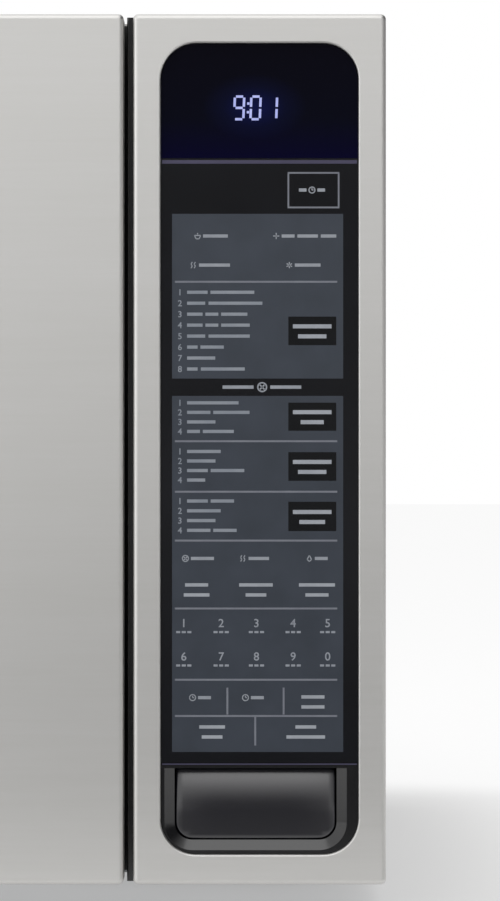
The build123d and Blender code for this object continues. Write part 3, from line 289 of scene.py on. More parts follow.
# Black vitreous enamel: deep black with a slight orange peel.
black_enamel, tree, shader, point = finish("black_vitreous_enamel", Roughness=0.3)
peel = add(tree, "TexNoise", {"Vector": point, "Scale": 1 / (4 * MM), "Detail": 2.0})
feed(tree, shader,
     Base_Color=add(tree, "ValToRGB", {0: peel}, stops=[(0.3, "#0a0a0b"), (0.7, "#0f0f11")]),
     Normal=add(tree, "Bump", {"Height": peel, "Distance": 0.03 * MM}))
dress(black_enamel, "cavity_front_plate")

# Turntable: a moulded stay on the motor's coupling rolls on three wheels over the cavity floor and
# carries a pressed steel tray.


def moulded(name, dark, light, roughness, relief=0.02):
    """Moulded plastic: a spark-eroded grain of about 0.8 mm over faint flow mottling."""
    material, tree, shader, point = finish(name, Roughness=roughness)
    grain = add(tree, "TexNoise", {"Vector": point, "Scale": 1 / (0.8 * MM), "Detail": 3.0})
    flow = add(tree, "TexNoise", {"Vector": point, "Scale": 1 / (25 * MM), "Detail": 2.0})
    both = add(tree, "Mix", {0: 0.5, 2: flow, 3: grain})
    feed(tree, shader,
         Base_Color=add(tree, "ValToRGB", {0: both}, stops=[(0.3, dark), (0.7, light)]),
         Normal=add(tree, "Bump", {"Height": grain, "Distance": relief * MM}))
    return material


# Heat-proof plastic: matt cream. The wheels are a waxy white.
dress(moulded("moulded_heatproof_plastic", "#cdc6b6", "#dad4c6", 0.4), "roller_stay", "motor_coupling")
dress(moulded("moulded_white_ptfe", "#dcdcd8", "#e6e6e2", 0.35), "roller_1", "roller_2", "roller_3")

# Speckled porcelain enamel: glassy blue-black, with pale specks 0.6 mm wide, 3 mm apart.
porcelain, tree, shader, point = finish("speckled_porcelain_enamel", Roughness=0.16)
speck = add(tree, "TexVoronoi", {"Vector": point, "Scale": 1 / (3 * MM)}).outputs["Distance"]
peel = add(tree, "TexNoise", {"Vector": point, "Scale": 1 / (5.5 * MM)})
feed(tree, shader,
     Base_Color=add(tree, "ValToRGB", {0: speck},
                    stops=[(0.0, "#a2a8b4"), (0.12, "#8088a0"), (0.2, "#20242e")]),
     Normal=add(tree, "Bump", {"Height": peel, "Distance": 0.05 * MM}))
dress(porcelain, "turntable_tray")

# Waveguide cover: a thin sheet of mica over the port in the cavity's wall, which keeps splashes out and
# lets the microwaves in. It is punched to the port's shape and clipped over it.

# Pressed mica: flakes about 6 mm wide, brown to straw, with a pearly gloss.
mica, tree, shader, point = finish("pressed_mica", Coat_Weight=0.25, Coat_Roughness=0.3)
flake = add(tree, "TexVoronoi", {"Vector": point, "Scale": 1 / (6 * MM)})
tone = add(tree, "RGBToBW", {0: flake.outputs["Color"]})
feed(tree, shader,
     Base_Color=add(tree, "ValToRGB", {0: tone}, stops=[(0.2, "#94866c"), (0.8, "#b9ab8c")]),
     Roughness=add(tree, "MapRange", {"Value": tone, "To Min": 0.3, "To Max": 0.5}),
     Normal=add(tree, "Bump", {"Height": tone, "Distance": 0.03 * MM}))
dress(mica, "waveguide_cover")

# Magnetron and convection fan: pressed aluminium. The magnetron's fins are clamped in its yoke, and
# the fan is one stamping on its shaft. The small cut-outs and the diode are black mouldings.

# Pressed aluminium: pale grey, softly smeared by the press.
aluminium, tree, shader, point = finish("pressed_aluminium", Metallic=1.0)
smear = add(tree, "Mapping", {"Vector": point, "Scale": (1 / (16 * MM), 1 / (16 * MM), 1 / (1.6 * MM))})
smear = add(tree, "TexNoise", {"Vector": smear, "Scale": 1.0, "Detail": 3.0})
feed(tree, shader,
     Base_Color=add(tree, "ValToRGB", {0: smear}, stops=[(0.3, "#c9cacc"), (0.7, "#dadbdd")]),
     Roughness=add(tree, "MapRange", {"Value": smear, "From Min": 0.3, "From Max": 0.7, "To Min": 0.28,
                                      "To Max": 0.4}))
dress(aluminium, "magnetron", "convection_fan")

# Moulded black plastic: satin, with a fine grain.
black_plastic = moulded("moulded_black_nylon", "#141416", "#1c1c1f", 0.42)
dress(black_plastic, "magnetron_cutout", "oven_thermostat", "high_voltage_diode", "cord_gland")

# Transformer and fan motors: varnished steel laminations, riveted into a stack, with windings of
# enamelled copper or taped coils. They are screwed to the base plate, shroud and duct.


def beyond(tree, point, axis, place_mm):
    """1 where the piece lies past a place along an axis, 0 before it."""
    place = add(tree, "SeparateXYZ", {0: point}).outputs[axis]
    return add(tree, "Math", {0: place, 1: place_mm * MM}, operation="GREATER_THAN")


def laminated(name, winding, axis, low, high):
    """Laminations, drawn coarser than real ones, and a winding before low and beyond high, in mm."""
    material, tree, shader, point = finish(name, Roughness=0.45, Metallic=0.3)
    stack = add(tree, "TexWave", {"Vector": point, "Scale": 1 / (20 * MM), "Distortion": 0.3},
                bands_direction="Y")
    turns = add(tree, "TexWave", {"Vector": point, "Scale": 1 / (24 * MM), "Distortion": 0.6},
                bands_direction="Z")
    core = add(tree, "ValToRGB", {0: stack}, stops=[(0.2, "#2b2c30"), (0.8, "#46474b")])
    wound = add(tree, "ValToRGB", {0: turns}, stops=[(0.1, winding[0]), (0.9, winding[1])])
    before = add(tree, "Math", {0: 1.0, 1: beyond(tree, point, axis, low)}, operation="SUBTRACT")
    either = add(tree, "Math", {0: before, 1: beyond(tree, point, axis, high)}, operation="MAXIMUM")
    shade = add(tree, "Mix", {0: either, 6: core, 7: wound}, data_type="RGBA")
    tree.links.new(shade.outputs[2], shader.inputs["Base Color"])
    feed(tree, shader, Normal=add(tree, "Bump", {"Height": turns, "Distance": 0.1 * MM}))
    return material


copper = ("#7a3b1c", "#b5682f")
tape = ("#8f7a2c", "#c8b04a")
above_all = 900
dress(laminated("varnished_laminations_and_copper", copper, "X", 205.7, 267.9), "high_voltage_transformer")
dress(laminated("cooling_motor_laminations", tape, "Z", 109.9, above_all), "cooling_fan_motor")
dress(laminated("convection_motor_laminations", tape, "Z", 168.4, above_all), "convection_fan_motor")

# Capacitor: an oval can deep drawn from aluminium, filled with its windings and oil and sealed. It
# lies on the base plate.

# Drawn aluminium: fine draw marks along the can.
drawn_can, tree, shader, point = finish("drawn_aluminium", Metallic=1.0)
marks = add(tree, "Mapping", {"Vector": point, "Scale": (1 / (1.4 * MM), 1 / (33 * MM), 1 / (1.4 * MM))})
marks = add(tree, "TexNoise", {"Vector": marks, "Scale": 1.0, "Detail": 3.0})
feed(tree, shader,
     Base_Color=add(tree, "ValToRGB", {0: marks}, stops=[(0.3, "#c2c4c6"), (0.7, "#d2d4d6")]),
     Roughness=add(tree, "MapRange", {"Value": marks, "From Min": 0.3, "From Max": 0.7, "To Min": 0.25,
                                      "To Max": 0.38}))
dress(drawn_can, "high_voltage_capacitor")

# Circuit boards: glass-fibre laminate under green solder mask, with moulded parts soldered on. One
# filters the mains at the back, and the other stands behind the panel.


def board(name, low, high):
    """A board between two places along Y, tracks 4 mm apart, and dark moulded parts beside it."""
    material, tree, shader, point = finish(name, Roughness=0.4)
    flat = add(tree, "SeparateXYZ", {0: point}).outputs
    flat = add(tree, "CombineXYZ", {0: flat["X"], 1: flat["Z"]})
    tracks = add(tree, "TexBrick", {"Vector": flat, "Scale": 1 / (8 * MM), "Mortar Size": 0.03,
                                    "Color1": linear("#17492a"), "Color2": linear("#1b5230"),
                                    "Mortar": linear("#2c6b3f")})
    cloud = add(tree, "TexNoise", {"Vector": point, "Scale": 1 / (11 * MM)})
    body = add(tree, "ValToRGB", {0: cloud}, stops=[(0.4, "#1b1b1d"), (0.6, "#2a2a2e")])
    inside = add(tree, "Math", {0: beyond(tree, point, "Y", low), 1: beyond(tree, point, "Y", high)},
                 operation="SUBTRACT")
    shade = add(tree, "Mix", {0: inside, 6: body, 7: tracks}, data_type="RGBA")
    tree.links.new(shade.outputs[2], shader.inputs["Base Color"])
    return material


dress(board("filter_board_solder_mask", 240.2, 242.0), "filter_board")
dress(board("control_board_solder_mask", -236.1, -234.3), "control_board")

# Cooling fan: a five-bladed fan on a thin steel shaft, and the air guide that rings it between the
# cavity, the cabinet's side and the base plate. Both are moulded in glass-filled nylon.

# Glass-filled nylon: dark grey, with a dry fibrous grain.
dress(moulded("moulded_glass_filled_nylon", "#3a3b3e", "#47484b", 0.5, 0.04),
      "cooling_fan", "fan_shroud")

# Heater: a resistance wire in a sheath of alloy tube, bent to an open ring. It lies in the convection
# duct, round the fan, with its ends out through the duct.

# Oxidised heater sheath: grey-brown, with bluer patches where it has run hot.
sheath, tree, shader, point = finish("oxidised_heater_sheath", Metallic=1.0)
blued = add(tree, "TexNoise", {"Vector": point, "Scale": 1 / (17 * MM), "Detail": 3.0})
feed(tree, shader,
     Base_Color=add(tree, "ValToRGB", {0: blued},
                    stops=[(0.35, "#4c4540"), (0.55, "#5d5a5e"), (0.7, "#6b6358")]),
     Roughness=add(tree, "MapRange", {"Value": blued, "From Min": 0.3, "From Max": 0.7, "To Min": 0.4,
                                      "To Max": 0.6}))
dress(sheath, "convection_heater")

# Lamp: a small clear glass bulb in a plated cap. It is pushed from outside into its housing, behind
# the perforated patch of the cavity's right wall.

# Lamp glass and plated cap: thin clear glass up to the cap, and dull plate from there.
bulb, tree, shader, point = finish("lamp_glass_and_cap", Roughness=0.08)
cap_start = 170.7
cap = beyond(tree, point, "X", cap_start)
shade = add(tree, "Mix", {0: cap, 6: linear("#e8e4d8"), 7: linear("#b8b4aa")}, data_type="RGBA")
tree.links.new(shade.outputs[2], shader.inputs["Base Color"])
feed(tree, shader, Metallic=cap, Alpha=add(tree, "MapRange", {"Value": cap, "To Min": 0.4, "To Max": 1.0}))
dress(bulb, "cavity_lamp")

# Interlock: a moulded bracket behind the front plate holds three switches. The hooks of the latch hold
# their plungers down, and a lever under the lower hook lifts it.

# Acetal: smooth off-white. The switches are dark red thermoset, their plungers ivory.
dress(moulded("moulded_white_acetal", "#c9c9c4", "#d6d6d2", 0.38),
      "latch_bracket", "open_lever", "latch_hook")
dress(moulded("moulded_red_thermoset", "#7c2a24", "#8c322b", 0.4),
      "primary_switch", "monitor_switch", "secondary_switch")
dress(moulded("moulded_ivory_acetal", "#c4c2b6", "#d2d0c6", 0.35),
      "primary_plunger", "monitor_plunger", "secondary_plunger")

# Panel housing: a box moulded in black ABS that carries the lens, the keys, the board and the button.
# The clock module stands on the board behind the lens.

# Polished ABS under clear lacquer: black and glossy, with the faint ripple of moulded plastic.
polished_abs, tree, shader, point = finish("polished_black_abs", Roughness=0.2, IOR=1.54, Coat_Weight=0.8,
                                           Coat_Roughness=0.2)
ripple = add(tree, "TexNoise", {"Vector": point, "Scale": 1 / (14 * MM), "Detail": 2.0})
feed(tree, shader,
     Base_Color=add(tree, "ValToRGB", {0: ripple}, stops=[(0.3, "#101013"), (0.7, "#141417")]),
     Normal=add(tree, "Bump", {"Height": ripple, "Distance": 0.01 * MM}))
dress(polished_abs, "panel_housing")
dress(black_plastic, "clock_display")

# Return springs: wound from hard-drawn steel wire, with closed ends. One pushes the button out, and
# one presses the latch down inside the door. Each is shortened by its piece's travel.

wire_radius = 0.5 * MM
wire_sides = 8
turn_steps = 20


def coil(name, foot, along, length, radius, turns):
    """A spring of open turns from foot, between one closed turn at each end."""
    along = Vector(along)
    side = along.orthogonal().normalized()
    start = Vector(foot) + along * wire_radius
    facing = Matrix((side, along.cross(side), along)).transposed().to_4x4()
    upright = facing @ Matrix.Rotation(pi / 2, 4, "X")
    mesh = bmesh.new()
    bmesh.ops.create_circle(mesh, segments=wire_sides, radius=wire_radius,
                            matrix=Matrix.Translation(start + side * radius) @ upright)
    end = list(mesh.edges)
    closed = 2 * wire_radius
    pitch = (length - 3 * closed) / turns
    for run, rise in ((1, closed), (turns, pitch), (1, closed)):
        made = bmesh.ops.spin(mesh, geom=end, cent=start, axis=along, dvec=along * rise / turn_steps,
                              angle=2 * pi * run, steps=turn_steps * run)
        end = [g for g in made["geom_last"] if isinstance(g, bmesh.types.BMEdge)]
    bmesh.ops.holes_fill(mesh, edges=mesh.edges, sides=wire_sides)
    bmesh.ops.recalc_face_normals(mesh, faces=mesh.faces)
    for face in mesh.faces:
        face.smooth = len(face.verts) == 4
    return shape(name, mesh, spring_wire)


# Hard-drawn steel wire: bright, with fine draw marks.
spring_wire, tree, shader, point = finish("hard_drawn_spring_wire", Metallic=1.0)
marks = add(tree, "TexNoise", {"Vector": point, "Scale": 1 / (1.2 * MM), "Detail": 2.0})
feed(tree, shader,
     Base_Color=add(tree, "ValToRGB", {0: marks}, stops=[(0.3, "#9b9c9e"), (0.7, "#aeb0b2")]),
     Roughness=add(tree, "MapRange", {"Value": marks, "From Min": 0.3, "From Max": 0.7, "To Min": 0.25,
                                      "To Max": 0.4}))

low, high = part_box("button_spring")
spring = coil("button_return_spring", ((low.x + high.x) / 2, low.y, (low.z + high.z) / 2), (0, 1, 0),
              high.y - low.y, (high.x - low.x) / 2 - wire_radius, 7)
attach(spring, "root")
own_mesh(spring)
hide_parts("button_spring")

# Push button: moulded in black ABS, polished and lacquered. Its face curves back above a crest, so
# that a finger finds its top edge, and a little at both sides. Its skirt slides in the housing.

button_low, button_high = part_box("open_button")
button_corner = 7 * MM
button_edge = 0.8 * MM
button_depth = 12 * MM
crest_height = 10.5 * MM
crown_radius = 60 * MM
side_drop = 0.769 * MM
side_start = 0.45
face_cells = ((0, 20), (2, 16))


def crowned_button():
    """The button's block with rounded lower corners and rim, its face cut in cells and crowned."""
    mesh = bmesh.new()
    size = Vector((button_high.x - button_low.x, button_depth, button_high.z - button_low.z))
    middle = button_low + size / 2
    bmesh.ops.create_cube(mesh, size=1, matrix=Matrix.Translation(middle) @ Matrix.Diagonal((*size, 1)))
    deep = [e for e in mesh.edges if abs(e.verts[0].co.y - e.verts[1].co.y) > MM]
    corners = [e for e in deep if e.verts[0].co.z < middle.z]
    bmesh.ops.bevel(mesh, geom=corners, offset=button_corner, segments=10, profile=0.5, affect="EDGES",
                    material=-1)
    rim = [e for e in mesh.edges if all(v.co.y < middle.y for v in e.verts)]
    bmesh.ops.bevel(mesh, geom=rim, offset=button_edge, segments=3, profile=0.5, affect="EDGES",
                    material=-1)
    for axis, cuts in face_cells:
        normal = Vector((axis == 0, 0, axis == 2))
        for i in range(1, cuts):
            at = button_low + size * i / cuts
            everything = mesh.verts[:] + mesh.edges[:] + mesh.faces[:]
            bmesh.ops.bisect_plane(mesh, geom=everything, plane_co=at, plane_no=normal)
    for vert in mesh.verts:
        if vert.co.y < middle.y:
            rise = max(0.0, vert.co.z - button_low.z - crest_height)
            lean = crown_radius - (crown_radius ** 2 - rise ** 2) ** 0.5
            across = max(0.0, abs(vert.co.x - middle.x) * 2 / size.x - side_start) / (1 - side_start)
            vert.co.y += lean + across ** 2 * side_drop
    for face in mesh.faces:
        face.smooth = face.normal.y < -0.01
    return mesh


# Polished ABS under clear lacquer, with a blue cast, a little softened by fingers.
fingered_abs, tree, shader, point = finish("fingered_black_abs", Roughness=0.24, IOR=1.54, Coat_Weight=1.0,
                                           Coat_Roughness=0.22, Coat_IOR=1.64)
touch = add(tree, "TexNoise", {"Vector": point, "Scale": 1 / (9 * MM), "Detail": 3.0})
feed(tree, shader,
     Base_Color=add(tree, "ValToRGB", {0: touch}, stops=[(0.3, "#0e0e18"), (0.7, "#12121c")]),
     Normal=add(tree, "Bump", {"Height": touch, "Distance": 0.006 * MM}))
button = shape("door_open_button", crowned_button(), fingered_abs)
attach(button, "button")
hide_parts("open_button")

# Display lens: a plate of tinted acrylic, moulded and polished. It is snapped into the top of the
# panel's window, in front of the clock.

lens_low, lens_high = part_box("display_lens")
glow_middle = Vector((257.4, lens_low.y / MM, 339)) * MM
glow_reach = (22 * MM, 1, 14 * MM)

# Tinted acrylic: blue-black, bluer at its foot, with a painted glow of the lit digits, a soft blue halo
# round them.
acrylic, tree, shader, point = finish("tinted_acrylic", Roughness=0.07, IOR=1.49, Emission_Strength=1.0)
height = add(tree, "SeparateXYZ", {0: point}).outputs["Z"]
height = add(tree, "MapRange", {"Value": height, "From Min": lens_low.z, "From Max": lens_high.z})
painted_halo = add(tree, "Mapping", {"Vector": point, "Scale": [1 / r for r in glow_reach],
                             "Location": [-g / r for g, r in zip(glow_middle, glow_reach)]})
painted_halo = add(tree, "TexGradient", {"Vector": painted_halo}, gradient_type="SPHERICAL")
feed(tree, shader,
     Base_Color=add(tree, "ValToRGB", {0: height},
                    stops=[(0.0, "#08062a"), (0.35, "#0a0b1a"), (1.0, "#0b0a15")]),
     Emission_Color=add(tree, "ValToRGB", {0: painted_halo},
                        stops=[(0.0, "#000000"), (0.4, "#020418"), (1.0, "#060c3a")]))
dress(acrylic, "display_lens")

# Clock digits: the lit segments of a four-digit module, blue-white and almost upright. On the oven
# they shine from behind the lens, and here they are laid on its face, as thin as ink.

digit_height, digit_width, digit_pitch = 9.5 * MM, 3.9 * MM, 6.9 * MM
digit_left, digit_foot = 248.8 * MM, 334.0 * MM
digit_lean = 0.04
stroke = 1.0 * MM
segment_cut = 0.45
colon_column, colon_rows = -0.3, (0.62, 1.38)
ink = 0.04 * MM
segments = {"a": ((0, 2), (1, 2)), "b": ((1, 2), (1, 1)), "c": ((1, 1), (1, 0)), "d": ((0, 0), (1, 0)),
            "e": ((0, 1), (0, 0)), "f": ((0, 2), (0, 1)), "g": ((0, 1), (1, 1))}


def bar(mesh, start, end, width, back):
    """A flat stroke in the front plane from one (x, z) place to another, as thick as ink."""
    run = Vector((end[0] - start[0], 0, end[1] - start[1]))
    along = run.normalized()
    turned = Matrix((along, (0, 1, 0), along.cross((0, 1, 0)))).transposed().to_4x4()
    middle = Matrix.Translation(((start[0] + end[0]) / 2, back - ink / 2, (start[1] + end[1]) / 2))
    size = Matrix.Diagonal((run.length, ink, width, 1))
    bmesh.ops.create_cube(mesh, size=1, matrix=middle @ turned @ size)


def in_cell(place, column, row):
    """A point of a digit's cell, leaning; its rows are half the digit's height."""
    up = row * digit_height / 2
    across = place * digit_pitch + column * digit_width + up * digit_lean
    return Vector((digit_left + across, digit_foot + up))


mesh = bmesh.new()
for place, lit in enumerate(("abcdfg", "abcdef", "bc")):
    for name in lit:
        start, end = (in_cell(place, *corner) for corner in segments[name])
        short = (end - start).normalized() * stroke * segment_cut
        bar(mesh, start + short, end - short, stroke, lens_low.y)
for row in colon_rows:
    x, z = in_cell(1, colon_column, row)
    bar(mesh, (x - stroke / 2, z), (x + stroke / 2, z), stroke, lens_low.y)

# Lit phosphor: blue-white, a little uneven.
phosphor, tree, shader, point = finish("lit_phosphor", Emission_Strength=1.0, Base_Color=linear("#0a0a14"))
uneven = add(tree, "TexNoise", {"Vector": point, "Scale": 1 / (3 * MM)})
feed(tree, shader,
     Emission_Color=add(tree, "ValToRGB", {0: uneven}, stops=[(0.3, "#a2aae6"), (0.7, "#b8bef4")]))
digits = shape("clock_digits", mesh, phosphor)
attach(digits, "root")

# Touch pad: a membrane switch under printed polyester film, bonded into the window. Thin violet
# strips along the joints above and below it are a painted highlight of the seams.

film_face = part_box("touch_key_panel")[0].y

# Polyester film: black, glossy, laid down almost flat.
film, tree, shader, point = finish("black_polyester_film", Roughness=0.18, IOR=1.6)
wave = add(tree, "TexNoise", {"Vector": point, "Scale": 1 / (30 * MM), "Detail": 3.0})
feed(tree, shader,
     Base_Color=add(tree, "ValToRGB", {0: wave}, stops=[(0.3, "#0c0d12"), (0.7, "#121319")]),
     Normal=add(tree, "Bump", {"Height": wave, "Distance": 0.01 * MM}))
dress(film, "touch_key_panel")


def printed(name, dark, light, patch_mm=8, roughness=0.4):
    """Screen-printed ink: a little uneven, under the film's own sheen."""
    material, tree, shader, point = finish(name, Roughness=roughness)
    uneven = add(tree, "TexNoise", {"Vector": point, "Scale": 1 / (patch_mm * MM), "Detail": 3.0})
    feed(tree, shader, Base_Color=add(tree, "ValToRGB", {0: uneven}, stops=[(0.3, dark), (0.7, light)]))
    return material


def patch(mesh, x, z, layer):
    """A printed patch between two x and two z places in mm, on a layer above the film."""
    level = (z[0] + z[1]) / 2 * MM
    bar(mesh, (x[0] * MM, level), (x[1] * MM, level), (z[1] - z[0]) * MM, film_face - layer * ink)


def legend(name, mesh, material):
    """Finishes a printed layer, which rides on the panel."""
    made = shape(name, mesh, material)
    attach(made, "root")


mesh = bmesh.new()
for z in ((225.2, 294.3), (68.5, 217.9)):
    patch(mesh, (222.8, 294.6), z, 0)
legend("key_fields", mesh, printed("slate_ink", "#353c47", "#3d4450", 17))

mesh = bmesh.new()
for z in ((239.2, 251.2), (203.3, 215.1), (182.3, 194.3), (161.2, 173.5)):
    patch(mesh, (271.6, 291.7), z, 1)
legend("key_boxes", mesh, printed("black_ink", "#07090c", "#0b0d12", roughness=0.22))

rule = 0.8
frame_rule = 0.7
mesh = bmesh.new()
for z in (265.8, 198.9, 177.7, 157.2, 128.7, 98.8, 83.6):
    patch(mesh, (224.0, 292.1), (z - rule / 2, z + rule / 2), 1)
for x, z in ((246.0, (84.2, 95.5)), (269.6, (84.2, 95.5)), (257.7, (71.2, 83.2))):
    patch(mesh, (x - rule / 2, x + rule / 2), z, 1)
for z in (297.0, 311.5):
    patch(mesh, (271.3, 293.0), (z - frame_rule / 2, z + frame_rule / 2), 0)
for x in (271.6, 292.7):
    patch(mesh, (x - frame_rule / 2, x + frame_rule / 2), (297.3, 311.2), 0)
legend("key_rules", mesh, printed("grey_rule_ink", "#7d808c", "#868a94"))

# Violet strips on the joints above and below the pad: a painted highlight of the seams.
mesh = bmesh.new()
for z in ((315.35, 316.85), (63.15, 63.65)):
    patch(mesh, (218.6, 300.4), z, 1)
legend("painted_violet_seam_highlights", mesh, printed("painted_violet_seam_highlight", "#423f5a", "#4f4c68", 30))

# Legends: plain numerals, small pictures of what a key does and plain dashes, screen-printed on the film
# in pale grey ink. Their sizes and places are in mm, as draw, dashes and stamp take them.

signs = {
    "plus": [[(0, -1), (0, 1)], [(-1, 0), (1, 0)]],
    "flake": [[(0, -1), (0, 1)], [(-0.87, -0.5), (0.87, 0.5)], [(-0.87, 0.5), (0.87, -0.5)]],
    "bowl": [[(-1, 0.2), (1, 0.2), (0.5, -0.9), (-0.5, -0.9), (-1, 0.2)], [(0, 0.5), (0, 1)]],
    "clock": [[(cos(a * pi / 5), sin(a * pi / 5)) for a in range(11)], [(0, 0.6), (0, 0), (0.5, 0)]],
    "fan": [[(cos(a * pi / 5), sin(a * pi / 5)) for a in range(11)], [(-0.5, -0.5), (0.5, 0.5)],
            [(-0.5, 0.5), (0.5, -0.5)]],
    "heat": [[(-0.8, -1), (-0.4, -0.3), (-0.8, 0.3), (-0.4, 1)],
             [(0.2, -1), (0.6, -0.3), (0.2, 0.3), (0.6, 1)]],
    "drop": [[(0, 1), (0.7, -0.3), (0, -1), (-0.7, -0.3), (0, 1)]],
}
sign_size, sign_width, sign_gap = 1.3, 0.45, 2.3
band_z = 221.6
list_number_x, list_dash_x, list_number_height = 226.1, 229.1, 2.5
key_number_height = 3.4
mark, mark_gap, mark_drop = 1.7, 0.65, 3.8
box_key_x = 281.6
dash_above, dash_below = 1.9, 2.3
numeral_share = 0.69
numeral_weight = 0.05 * MM


def draw(mesh, sign, x, z, size, width=sign_width):
    """Draws a sign of half-height size about a place, all in mm."""
    for line in signs[sign]:
        for (x0, z0), (x1, z1) in zip(line, line[1:]):
            start = ((x + x0 * size) * MM, (z + z0 * size) * MM)
            end = ((x + x1 * size) * MM, (z + z1 * size) * MM)
            bar(mesh, start, end, width * MM, film_face - 2 * ink)


def dashes(mesh, x, z, *parts, high=1.35):
    """A row of dashes from x on, in mm; parts takes turns as the length of a dash and of a gap."""
    for i, part in enumerate(parts):
        if i % 2 == 0:
            patch(mesh, (x, x + part), (z - high / 2, z + high / 2), 2)
        x += part


def stamp(mesh, digits, height, x, z):
    """Prints plain numerals of a height, centred on x with their middle at z, in mm."""
    text = bpy.data.curves.new("numerals", "FONT")
    text.body = digits
    text.size = height * MM / numeral_share
    text.align_x = "CENTER"
    text.extrude = ink / 2
    text.offset = numeral_weight
    text.resolution_u = 3
    holder = bpy.data.objects.new("numerals", text)
    bpy.context.scene.collection.objects.link(holder)
    bpy.context.view_layer.update()
    flat = bpy.data.meshes.new_from_object(holder)
    face = Matrix.Translation((x * MM, film_face - 2.5 * ink, (z - height / 2) * MM))
    flat.transform(face @ Matrix.Rotation(pi / 2, 4, "X"))
    mesh.from_mesh(flat)
    bpy.data.objects.remove(holder)


mesh = bmesh.new()
for sign, x, z, parts in (
    ("bowl", 233.5, 285.0, (10.4,)), ("plus", 266.5, 285.0, (5.4, 1.2, 8.6, 1.2, 6.5)),
    ("heat", 231.8, 272.8, (13.0,)), ("flake", 272.0, 272.8, (10.8,)),
    ("fan", 228.4, 149.7, (9.7,)), ("heat", 252.6, 149.7, (8.6,)), ("drop", 280.4, 149.7, (5.4,)),
    ("clock", 231.4, 91.3, (5.4,)), ("clock", 253.6, 91.3, (5.4,)), ("clock", 281.5, 304.3, (3.2,)),
):
    draw(mesh, sign, x, z, sign_size)
    dashes(mesh, x + sign_gap, z, *parts)
dashes(mesh, 276.0, 304.3, 3.2)
draw(mesh, "fan", 260.6, band_z, 1.9, 0.6)
for x in (244.0, 264.0):
    dashes(mesh, x, band_z, 13.0, high=1.4)
legend("key_signs", mesh, printed("pale_grey_ink", "#9ba0aa", "#a8adb6"))

mesh = bmesh.new()
for heights, rows in (
    ((261.4, 256.8, 252.2, 247.6, 243.0, 238.4, 233.8, 229.2),
     ((8.6, 1.2, 18.4), (7.6, 1.4, 22.6), (6.5, 1.2, 5.4, 1.2, 11.0), (6.5, 1.2, 5.4, 1.2, 12.0),
      (7.6, 1.4, 17.3), (4.4, 1.2, 9.8), (11.8,), (4.4, 1.4, 18.4))),
    ((215.0, 211.0, 207.0, 203.0), ((21.6,), (9.8, 1.2, 15.2), (11.9,), (5.4, 1.2, 13.0))),
    ((194.6, 190.6, 186.6, 182.6), ((14.1,), (11.9,), (8.7, 1.2, 14.1), (7.6,))),
    ((173.8, 169.7, 165.6, 161.5), ((8.7, 1.2, 9.8), (14.1,), (11.9,), (9.8, 1.2, 9.8))),
):
    for number, (z, parts) in enumerate(zip(heights, rows), 1):
        stamp(mesh, str(number), list_number_height, list_number_x, z)
        dashes(mesh, list_dash_x, z, *parts)
legend("list_rows", mesh, printed("list_grey_ink", "#8f96a2", "#9ba1ab"))

mesh = bmesh.new()
for number, x in enumerate((227.7, 243.4, 258.2, 273.6, 288.1)):
    for digit, z in ((number + 1, 122.6), ((number + 6) % 10, 108.6)):
        stamp(mesh, str(digit), key_number_height, x, z)
        left_end = x - mark * 1.5 - mark_gap
        dashes(mesh, left_end, z - mark_drop, mark, mark_gap, mark, mark_gap, mark, high=0.9)
legend("number_keys", mesh, printed("number_grey_ink", "#989da8", "#a4a9b3"))

# Two dashes a key: its middle, and how long the upper and the lower dash are.
mesh = bmesh.new()
for x, z, upper, lower in (
    (box_key_x, 245.2, 16.2, 11.9), (box_key_x, 209.2, 16.2, 9.7),
    (box_key_x, 188.3, 16.2, 11.9), (box_key_x, 167.3, 16.2, 10.8),
    (233.1, 136.7, 9.7, 10.8), (258.0, 136.7, 14.1, 8.7), (283.6, 136.7, 15.1, 9.7),
    (281.9, 89.7, 9.7, 9.7), (239.6, 77.1, 10.8, 8.7), (278.9, 77.1, 8.7, 16.2),
):
    for length, at in ((upper, z + dash_above), (lower, z - dash_below)):
        dashes(mesh, x - length / 2, at, length, high=1.7 if x == box_key_x else 1.4)
legend("key_dashes", mesh, printed("key_grey_ink", "#a6abb4", "#b3b8c1"))

# Control bezel and door skin: each one pressing of brushed stainless steel, its edges rolled over and
# turned in. The bezel hooks over the housing, and the door's skin over its tray.

# Brushed stainless steel: soft streaks along the front's width, so fine that the eye sees a sheen.
front_steel = brushed("brushed_stainless", "#e4e3e1", "#e0dfdc", (50, 1.6, 1.6), 0.47)
dress(front_steel, "control_bezel", "door_frame")

# Door: a black moulded tray with a tunnel round the window, a steel screen coarser than real ones, a
# clear pane at the oven's side, a choke cover round its rim and a tinted pane in front.

dress(moulded("moulded_black_phenolic", "#101013", "#17171a", 0.4), "door_inner_frame")
dress(moulded("moulded_charcoal_polypropylene", "#262628", "#2e2e31", 0.45), "choke_cover")

screen_low, screen_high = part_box("door_screen")
screen_pitch = 5.6 * MM
screen_hole = 3.8 * MM
screen_corner = 7.8 * MM
octagon_cut = 0.29


